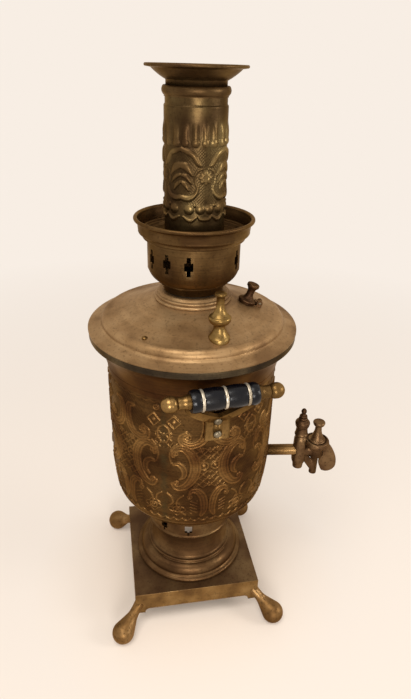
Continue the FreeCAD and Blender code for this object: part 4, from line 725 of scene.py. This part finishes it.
def small_figures(a, b, z):
    """A diamond (the two distances added), a flower (a circle that waves four times), a crossed
    lattice and a comb inside their windows, and the scalloped lines at the foot and the top."""
    diamond = np.abs(a - DIAMOND[0]) + np.abs(z - DIAMOND[1]) * 0.9
    away = np.hypot(a - FLOWER[0], z - FLOWER[1])
    swing = np.arctan2(z - FLOWER[1], a - FLOWER[0])
    rising = bars(b + z + 2.0, LATTICE_WIDTH, 1.4)
    falling = bars(b - z + 2.0, LATTICE_WIDTH, 1.4)
    windows = np.any([((a, b)[side] < reach) & (z > low) & (z < high)
                      for side, reach, low, high in LATTICE_WINDOWS], axis=0)
    comb_window = (b > 11.0) & (b < 19.0) & (z > 178.0) & (z < 197.0)
    scallop = np.abs(np.sin(a * np.pi / SCALLOP_WIDTH))
    return [
        np.maximum(0.8 * ridge(diamond - 6.6, 1.5), 0.8 * ridge(diamond, 3.2)),
        0.6 * ridge(away - 7.5 - 1.5 * np.cos(4.0 * swing), 1.0),
        0.6 * np.maximum(rising, falling) * windows,
        0.5 * bars(z - b * 0.5, COMB_WIDTH, 1.3) * comb_window,
        0.8 * ridge(z - FOOT_SCALLOPS + 3.4 * scallop, 1.5),
        0.7 * ridge(z - FOOT_LINE, 1.3),
        0.55 * ridge(z - TOP_SCALLOPS - 1.6 * scallop, 1.0),
    ]


print("scallops round the urn:", round(2.0 * np.pi * SHEET_RADIUS / SCALLOP_WIDTH, 1))

# %% The urn's relief
URN_PATTERN = (159.0, 314.0, 3.0, 3.0)  # from, to, and how soon it fades in and out
PRESS_HEIGHT = 1.2
GROUND_DEPTH = 0.25
PEBBLE_SIZE, PEBBLE_DEPTH = 2.2, 0.12
BARE_BELOW = 0.08


def folded(angle, start, period, radius):
    """How far round the sheet a point is from the nearest axis, in millimetres: the angle past
    the last axis is folded at the middle between two axes, then multiplied by the radius."""
    return np.abs(np.mod(angle - start + period / 2.0, period) - period / 2.0) * radius


def urn_relief(angle, z):
    """The urn's leaf work: the highest of all its marks at each place times the press height,
    and between the marks a ground of pebbles that lies a little deeper. It also gives the share of
    painted light: low on the ground for painted shade, high on the marks for a painted highlight."""
    a = folded(angle, LEAF_TURN, LEAF_PERIOD, SHEET_RADIUS)
    across = (a, HALF_CELL - a)
    marks = [leaf_height(stroke_gap(across[side], z, *leaf)) for side, *leaf in URN_LEAVES]
    marks += [boss_height(across[side], z, *boss) for side, *boss in URN_BOSSES]
    marks += [line_height(across[side], z, *line) for side, *line in URN_LINES]
    high = np.maximum.reduce(marks + small_figures(*across, z))
    inside = between(z, *URN_PATTERN)
    ground = -GROUND_DEPTH + pebbles(a, z, PEBBLE_SIZE, PEBBLE_DEPTH)
    lift = (PRESS_HEIGHT * high + np.where(high > BARE_BELOW, 0.0, ground)) * inside
    # The second value is painted light: 0.4 off the pattern, darker on the ground, brighter on the
    # marks.
    return lift, np.where(inside > 0.0, np.clip(0.12 + high * 0.9, 0.0, 1.0), 0.4)


print("pattern from", URN_PATTERN[0], "to", URN_PATTERN[1], "mm above the floor")

# %% The soldered seam
SEAM_WIDTH = 4.0


def urn_stain(angle, z):
    """The soldered seam up the sheet: a green line that fades outwards over its width, and whose
    middle is pushed aside by two waves of different lengths."""
    away = np.abs(np.mod(angle - LEAF_TURN + np.pi, 2.0 * np.pi) - np.pi) * SHEET_RADIUS
    sway = 1.2 * np.sin(z * 0.23) + 0.8 * np.sin(z * 0.61 + 1.0)
    return 0.6 * np.clip(1.0 - np.abs(away - np.abs(sway)) / SEAM_WIDTH, 0.0, 1.0)


print("seam at", round(float(np.degrees(LEAF_TURN)), 2), "degrees from +X")

# %% [markdown]
# ## The urn's sheet
# The real urn is one embossed sheet, rolled and soldered. At this size its finest line is about
# a millimetre wide, so the grid is finer still, and one mesh of it would be too heavy to share.
# So the sheet is three bands that meet edge to edge, with a plain floor cone below them and the
# flared mouth above.

# %% The urn's bands
URN_COLUMNS = 864
URN_STEP = 0.56
SHEET_THICKNESS = 1.3
HIP, WALL, SHOULDER, MOUTH = 147.5, 200.0, 258.0, 316.0


def urn_piece(piece, finish):
    """The urn's finish, body and slot, given to one of its pieces."""
    piece.data.materials.append(finish)
    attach(piece, "stand_and_urn")
    return piece


def radius_at(outline, height):
    """The outline's radius at each height, read between its points."""
    return np.interp(height, outline[:, 1], outline[:, 0])


def urn_band(name, low, high):
    """One band of the urn: its outer rows follow the outline, and its inner rows stand one
    sheet's thickness inside."""
    level = np.linspace(low, high, int(round((high - low) / URN_STEP)) + 1)
    outer = np.stack([radius_at(urn_outer, level), level], axis=1)
    inner_level = np.linspace(low, high, 4)
    inner = np.stack([radius_at(urn_outer, inner_level) - SHEET_THICKNESS, inner_level], axis=1)
    return urn_piece(spun_wall(name, outer, inner, URN_COLUMNS, urn_relief, urn_stain), body_brass)


hip_band = urn_band("urn_hip_band", HIP, WALL)
leaf_band = urn_band("urn_leaf_band", WALL, SHOULDER)
upper_band = urn_band("urn_upper_band", SHOULDER, MOUTH)
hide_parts("body_shell")
print("band points:", [len(band.data.vertices) for band in (hip_band, leaf_band, upper_band)])

# %% The urn's mouth and floor
PLAIN_COLUMNS = 360
MOUTH_THICKNESS = 1.5
GROOVE_LEVEL, GROOVE_WIDTH, GROOVE_DEPTH = 322.0, 0.8, 0.35
URN_FOOT, FLOOR_HOLE, FLOOR_TOP = 127.0, 37.2, 129.0
mouth_outer = urn_outer[urn_outer[:, 1] >= MOUTH]
mouth_outer = np.vstack([[radius_at(urn_outer, MOUTH), MOUTH], mouth_outer])
mouth_outer[:, 0] -= GROOVE_DEPTH * ridge(mouth_outer[:, 1] - GROOVE_LEVEL, GROOVE_WIDTH)
mouth_inner = mouth_outer - [MOUTH_THICKNESS, 0.0]
mouth = spun_wall("urn_mouth", mouth_outer, mouth_inner, PLAIN_COLUMNS, mark=urn_stain)
urn_piece(mouth, plain_brass)
cone_outer = np.vstack([[[FLOOR_HOLE, URN_FOOT]], urn_outer[urn_outer[:, 1] <= HIP]])
cone_inner = np.array([[FLOOR_HOLE, FLOOR_TOP], [47.2, FLOOR_TOP], [69.0, 148.2]])
urn_floor = spun_wall("urn_floor_cone", cone_outer, cone_inner, PLAIN_COLUMNS)
urn_piece(urn_floor, plain_brass)
print("mouth rows:", len(mouth_outer), "floor rows:", len(cone_outer))

# %% [markdown]
# ## The chimney pipe
# The pipe carries smoke up from the fire and lifts out of its socket. Four flowers stand on it
# between fern lobes, with petals round its top. It could be drawn in a way of its own, but it
# was pressed as the urn's was, so the same strokes draw it, on a fold of a quarter turn. Its
# forms have hardly any outline, so most of them are soft swells.

# %% The pipe's marks
PIPE_TURN = radians(190.44)
PIPE_PERIOD = radians(90.0)
pipe_low, pipe_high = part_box("chimney_tube")
pipe_radius = max(pipe_high.x, -pipe_low.x) * MM_PER_METRE
pipe_bottom = pipe_low.z * MM_PER_METRE
pipe_top = pipe_high.z * MM_PER_METRE
FLOWER_LEVEL = 505.0
PIPE_LEAVES = [  # height, path, half widths, width of the swell
    (1.3, [(4.5, 515), (6.7, 517), (12, 524), (21.8, 528)], [1.4, 2.2, 2.6, 2.2], 2.4),
    (1.2, [(22, 515.0), (17, 513.5), (11.5, 507.0)], [2.8, 3.4, 1.2], 3.0),
    (1.1, [(21, 507.0), (17, 505.5), (12.5, 500.5)], [1.4, 2.2, 1.0], 2.0),
    (1.1, [(21, 501.0), (18, 499.0), (15.0, 494.5)], [1.4, 2.2, 1.0], 2.0),
    (1.2, [(21.8, 488), (15, 487.2), (9, 491), (6.5, 498)], [2.4, 2.6, 1.8, 1.0], 2.4),
    (0.9, [(7.5, 471.5), (13.5, 468.0), (20.0, 471.5)], [0.9, 1.8, 0.9], 1.6),
    (0.9, [(0.0, 469.0), (4.0, 469.5), (6.5, 472.5)], [1.6, 1.5, 0.7], 1.5),
]
PIPE_BALLS = [  # height, across, level, radius, width of the swell
    (1.2, 14.5, 478.0, 4.6, 4.0), (1.2, 4.4, 478.0, 4.3, 3.8), (0.9, 9.4, 481.5, 1.8, 1.6),
]
MEDALLION_LINE = [(3.2, 512.5), (8.5, 509.5), (9.5, 503), (7.5, 497)]
print("pipe radius", round(pipe_radius, 2), "from", round(pipe_bottom, 1), "to", round(pipe_top, 1))

# %% The pipe's relief
PETALS = 20
PETAL_FOOT = 533.0
PETAL_SHAFT = (PETAL_FOOT, 550.0, 3.0, 9.0)  # from, to, and how soon it fades in and out
PIPE_PATTERN = (463.0, 551.0, 3.0, 6.0)
PUNCHED_FROM, PUNCHED_TO = 482.0, 530.0
PUNCH_SIZE, PUNCH_DEPTH, PIPE_GROUND = 1.3, 0.2, 0.15
PIPE_BARE_BELOW = 0.15
PIPE_PRESS_HEIGHT = 1.15


def pipe_relief(angle, z):
    """The pipe's flowers: a scalloped flower and medallion on each axis, ferns between them,
    and a row of tall petals above. The highest mark counts, and bare ground is punched. The tone is
    the share of painted light: a painted highlight on the marks, painted shade on the punched ground."""
    a = folded(angle, PIPE_TURN, PIPE_PERIOD, pipe_radius)
    away = np.hypot(a, z - FLOWER_LEVEL)
    scallops = away - 6.0 - 0.7 * np.cos(8.0 * np.arctan2(z - FLOWER_LEVEL, a))
    petal_width = 2.0 * np.pi * pipe_radius / PETALS
    petal = np.mod(angle * pipe_radius, petal_width) - petal_width / 2.0
    marks = [
        1.1 * ridge(away - 3.0, 1.5) + 0.25 * swell(away - 3.0, 3.0), 0.7 * swell(scallops, 2.6),
        line_height(a, z, MEDALLION_LINE, 0.9, 0.55),
        0.9 * ridge(petal, 3.2) * between(z, *PETAL_SHAFT),
        1.1 * swell(np.hypot(petal, z - PETAL_FOOT) - 3.6, 3.4),
    ]
    marks += [tall * swell(stroke_gap(a, z, path, widths), soft)
              for tall, path, widths, soft in PIPE_LEAVES]
    marks += [tall * swell(np.hypot(a - x, z - level) - size, soft)
              for tall, x, level, size, soft in PIPE_BALLS]
    high = np.maximum.reduce(marks)
    inside = between(z, *PIPE_PATTERN)
    punched = pebbles(a, z, PUNCH_SIZE, PUNCH_DEPTH)
    punched = punched * np.clip((PUNCHED_TO - z) / 4.0, 0.0, 1.0) * (z > PUNCHED_FROM)
    bare = np.clip(1.0 - high / PIPE_BARE_BELOW, 0.0, 1.0)
    lift = (high * PIPE_PRESS_HEIGHT + (punched - PIPE_GROUND) * bare) * inside
    # Painted light: the marks are painted brighter and the punched ground is painted darker.
    tone = 0.38 + inside * (0.45 * np.clip(high, 0.0, 1.0) - 0.2 * bare * (np.abs(punched) > 0.0))
    return lift, tone


print("a petal is", round(2.0 * np.pi * pipe_radius / PETALS, 2), "mm wide")

# %% The pipe
PIPE_NECK = 26.9
PIPE_BORE = PIPE_NECK - 1.0
PIPE_COLUMNS = 320
PIPE_STEP = 0.55
pipe_corners = [  # near its top the tube narrows by an arc to a neck
    (pipe_radius, pipe_bottom), (pipe_radius, pipe_top - 8.0),
    (PIPE_NECK, pipe_top - 5.4, pipe_radius - 0.2, pipe_top - 6.3), (PIPE_NECK, pipe_top),
]
pipe_outer = profile(pipe_corners, PIPE_STEP)
pipe_inner = np.array([[PIPE_BORE, pipe_bottom], [PIPE_BORE, pipe_top]])
pipe = spun_wall("chimney_pipe", pipe_outer, pipe_inner, PIPE_COLUMNS, pipe_relief)
pipe.data.materials.append(tube_brass)
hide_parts("chimney_tube")
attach(pipe, "chimney")
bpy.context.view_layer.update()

# %% [markdown]
# ## The other solids
# The rest of the samovar already has its true shape in the measured solids. They could be
# modelled again here, but a second shape would only drift from the first. Their meshes are
# loose triangles, which show flat facets, so each part that is seen is copied, its doubled
# points are merged, and the copy is shaded smooth with sharp edges kept.

# %% Smooth copies
WELD_DISTANCE = 1e-5


def smooth_copy(node_name, finish, keep=32.0):
    """A copy of a solid whose doubled points are merged, shaded smooth except where two faces
    meet at more than the kept angle."""
    source = frame["nodes"][node_name]
    mesh = source.data.copy()
    mesh.name = node_name + "_finish"
    work = bmesh.new()
    work.from_mesh(mesh)
    bmesh.ops.remove_doubles(work, verts=work.verts, dist=WELD_DISTANCE)
    work.to_mesh(mesh)
    work.free()
    mesh.shade_smooth()
    mesh.set_sharp_from_angle(angle=radians(keep))
    mesh.materials.clear()
    mesh.materials.append(finish)
    piece = bpy.data.objects.new(node_name + "_finish", mesh)
    scene.collection.objects.link(piece)
    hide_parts(node_name)
    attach(piece, source["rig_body"])
    return piece


print("points closer than", WELD_DISTANCE, "m are merged")

# %% Parts that are seen
ROUND_PARTS = {
    "spun_brass": {
        pedestal_brass: ["pedestal", "vent_collar"],
        lid_brass: ["lid", "lid_collar"],
        drum_brass: ["crown_seat", "crown_drum", "crown_bowl"],
        pipe_top_brass: ["chimney_bead", "chimney_cap", "chimney_socket"],
    },
    "cast_brass": {
        foot_brass: ["foot_rear_right", "foot_rear_left", "foot_front_left", "foot_front_right"],
        knob_brass: ["lid_knob_left", "lid_knob_right"],
        tap_brass: ["vent_seat", "vent_cap"],
    },
    "rim_band": {rim_brass: ["body_rim"]},
    "tap_brass": {
        pipe_brass: ["tap_pipe"],
        tap_brass: ["tap_body", "tap_finial", "tap_key", "tap_knob", "tap_lever"],
    },
    "handle_brass": {
        bracket_brass: ["left_handle_bracket", "right_handle_bracket", "left_handle_ferrules",
                        "right_handle_ferrules", "left_handle_balls", "right_handle_balls"],
        pale_band: ["left_handle_bands", "right_handle_bands"],
    },
    "handle_grip": {grip_varnish: ["left_handle_grip", "right_handle_grip"]},
}
copies = {node_name: smooth_copy(node_name, finish)
          for slot_name, finishes in ROUND_PARTS.items()
          for finish, names in finishes.items() for node_name in names}
print("smooth copies:", len(copies))

# %% [markdown]
# ## The base plate
# The base is pressed from sheet, so its edges are softly rounded. Its upright skirt gets a brighter
# brass than its top, which is painted light: the upright faces are painted brighter than the top.
# The rounding could be cut into the solid, but at under a millimetre it only matters for how light
# catches the edge, so a bevel modifier adds it here. The faces' own directions tell the skirt from the
# top.

# %% The base plate
UPRIGHT_LIMIT = 0.6
EDGE_ROUNDING = 0.9 * MM
BASE_SMOOTH_BELOW = 25.0
BEVEL_ABOVE = radians(40)
base = smooth_copy("base_plate", plate_brass, BASE_SMOOTH_BELOW)
facing = np.zeros(len(base.data.polygons) * 3, dtype=np.float32)
base.data.polygons.foreach_get("normal", facing)
# Painted light: the upright skirt faces get the brighter brass.
base.data.materials.append(lit_skirt_brass)
upright = (np.abs(facing.reshape(-1, 3)[:, 2]) < UPRIGHT_LIMIT).astype(np.int32)
base.data.polygons.foreach_set("material_index", upright)
rounding = base.modifiers.new("pressed_edge", "BEVEL")
rounding.width = EDGE_ROUNDING
rounding.segments = 2
rounding.limit_method = "ANGLE"
rounding.angle_limit = BEVEL_ABOVE
print("base faces:", len(base.data.polygons), "upright:", int(upright.sum()))

# %% [markdown]
# ## Hidden parts
# The fire tube, the grate, rods, screws, nuts and pins hold the samovar together and are hardly
# seen. Copies of them would add weight and show nothing, so their own meshes stay and only get
# a finish.

# %% Hidden parts
HIDDEN_FINISHES = {
    fire_iron: ["fire_tube", "grate"],
    fixing_steel: ["left_handle_rod", "right_handle_rod", "handle_screws", "handle_nuts",
                   "pedestal_screws", "tap_grub_screw", "vent_hinge_pin"],
    bracket_brass: ["foot_nuts", "crown_rivets", "lid_rivet", "lid_knob_nuts", "tap_washer",
                    "tap_lock_nut"],
}
finished = set(copies) | {"base_plate", "body_shell", "chimney_tube"}
for finish, names in HIDDEN_FINISHES.items():
    finished |= set(names)
    for node_name in names:
        node = frame["nodes"][node_name]
        node.data.materials.clear()
        node.data.materials.append(finish)
print("solids without a finish:", sorted(set(frame["nodes"]) - finished))

# %% [markdown]
# ## Colour
# Blender can bend colours towards a film's look. The picture here is shown as plain screen
# colours instead, so the tones above mean what they say.

# %% Finish
scene.view_settings.view_transform = "Standard"
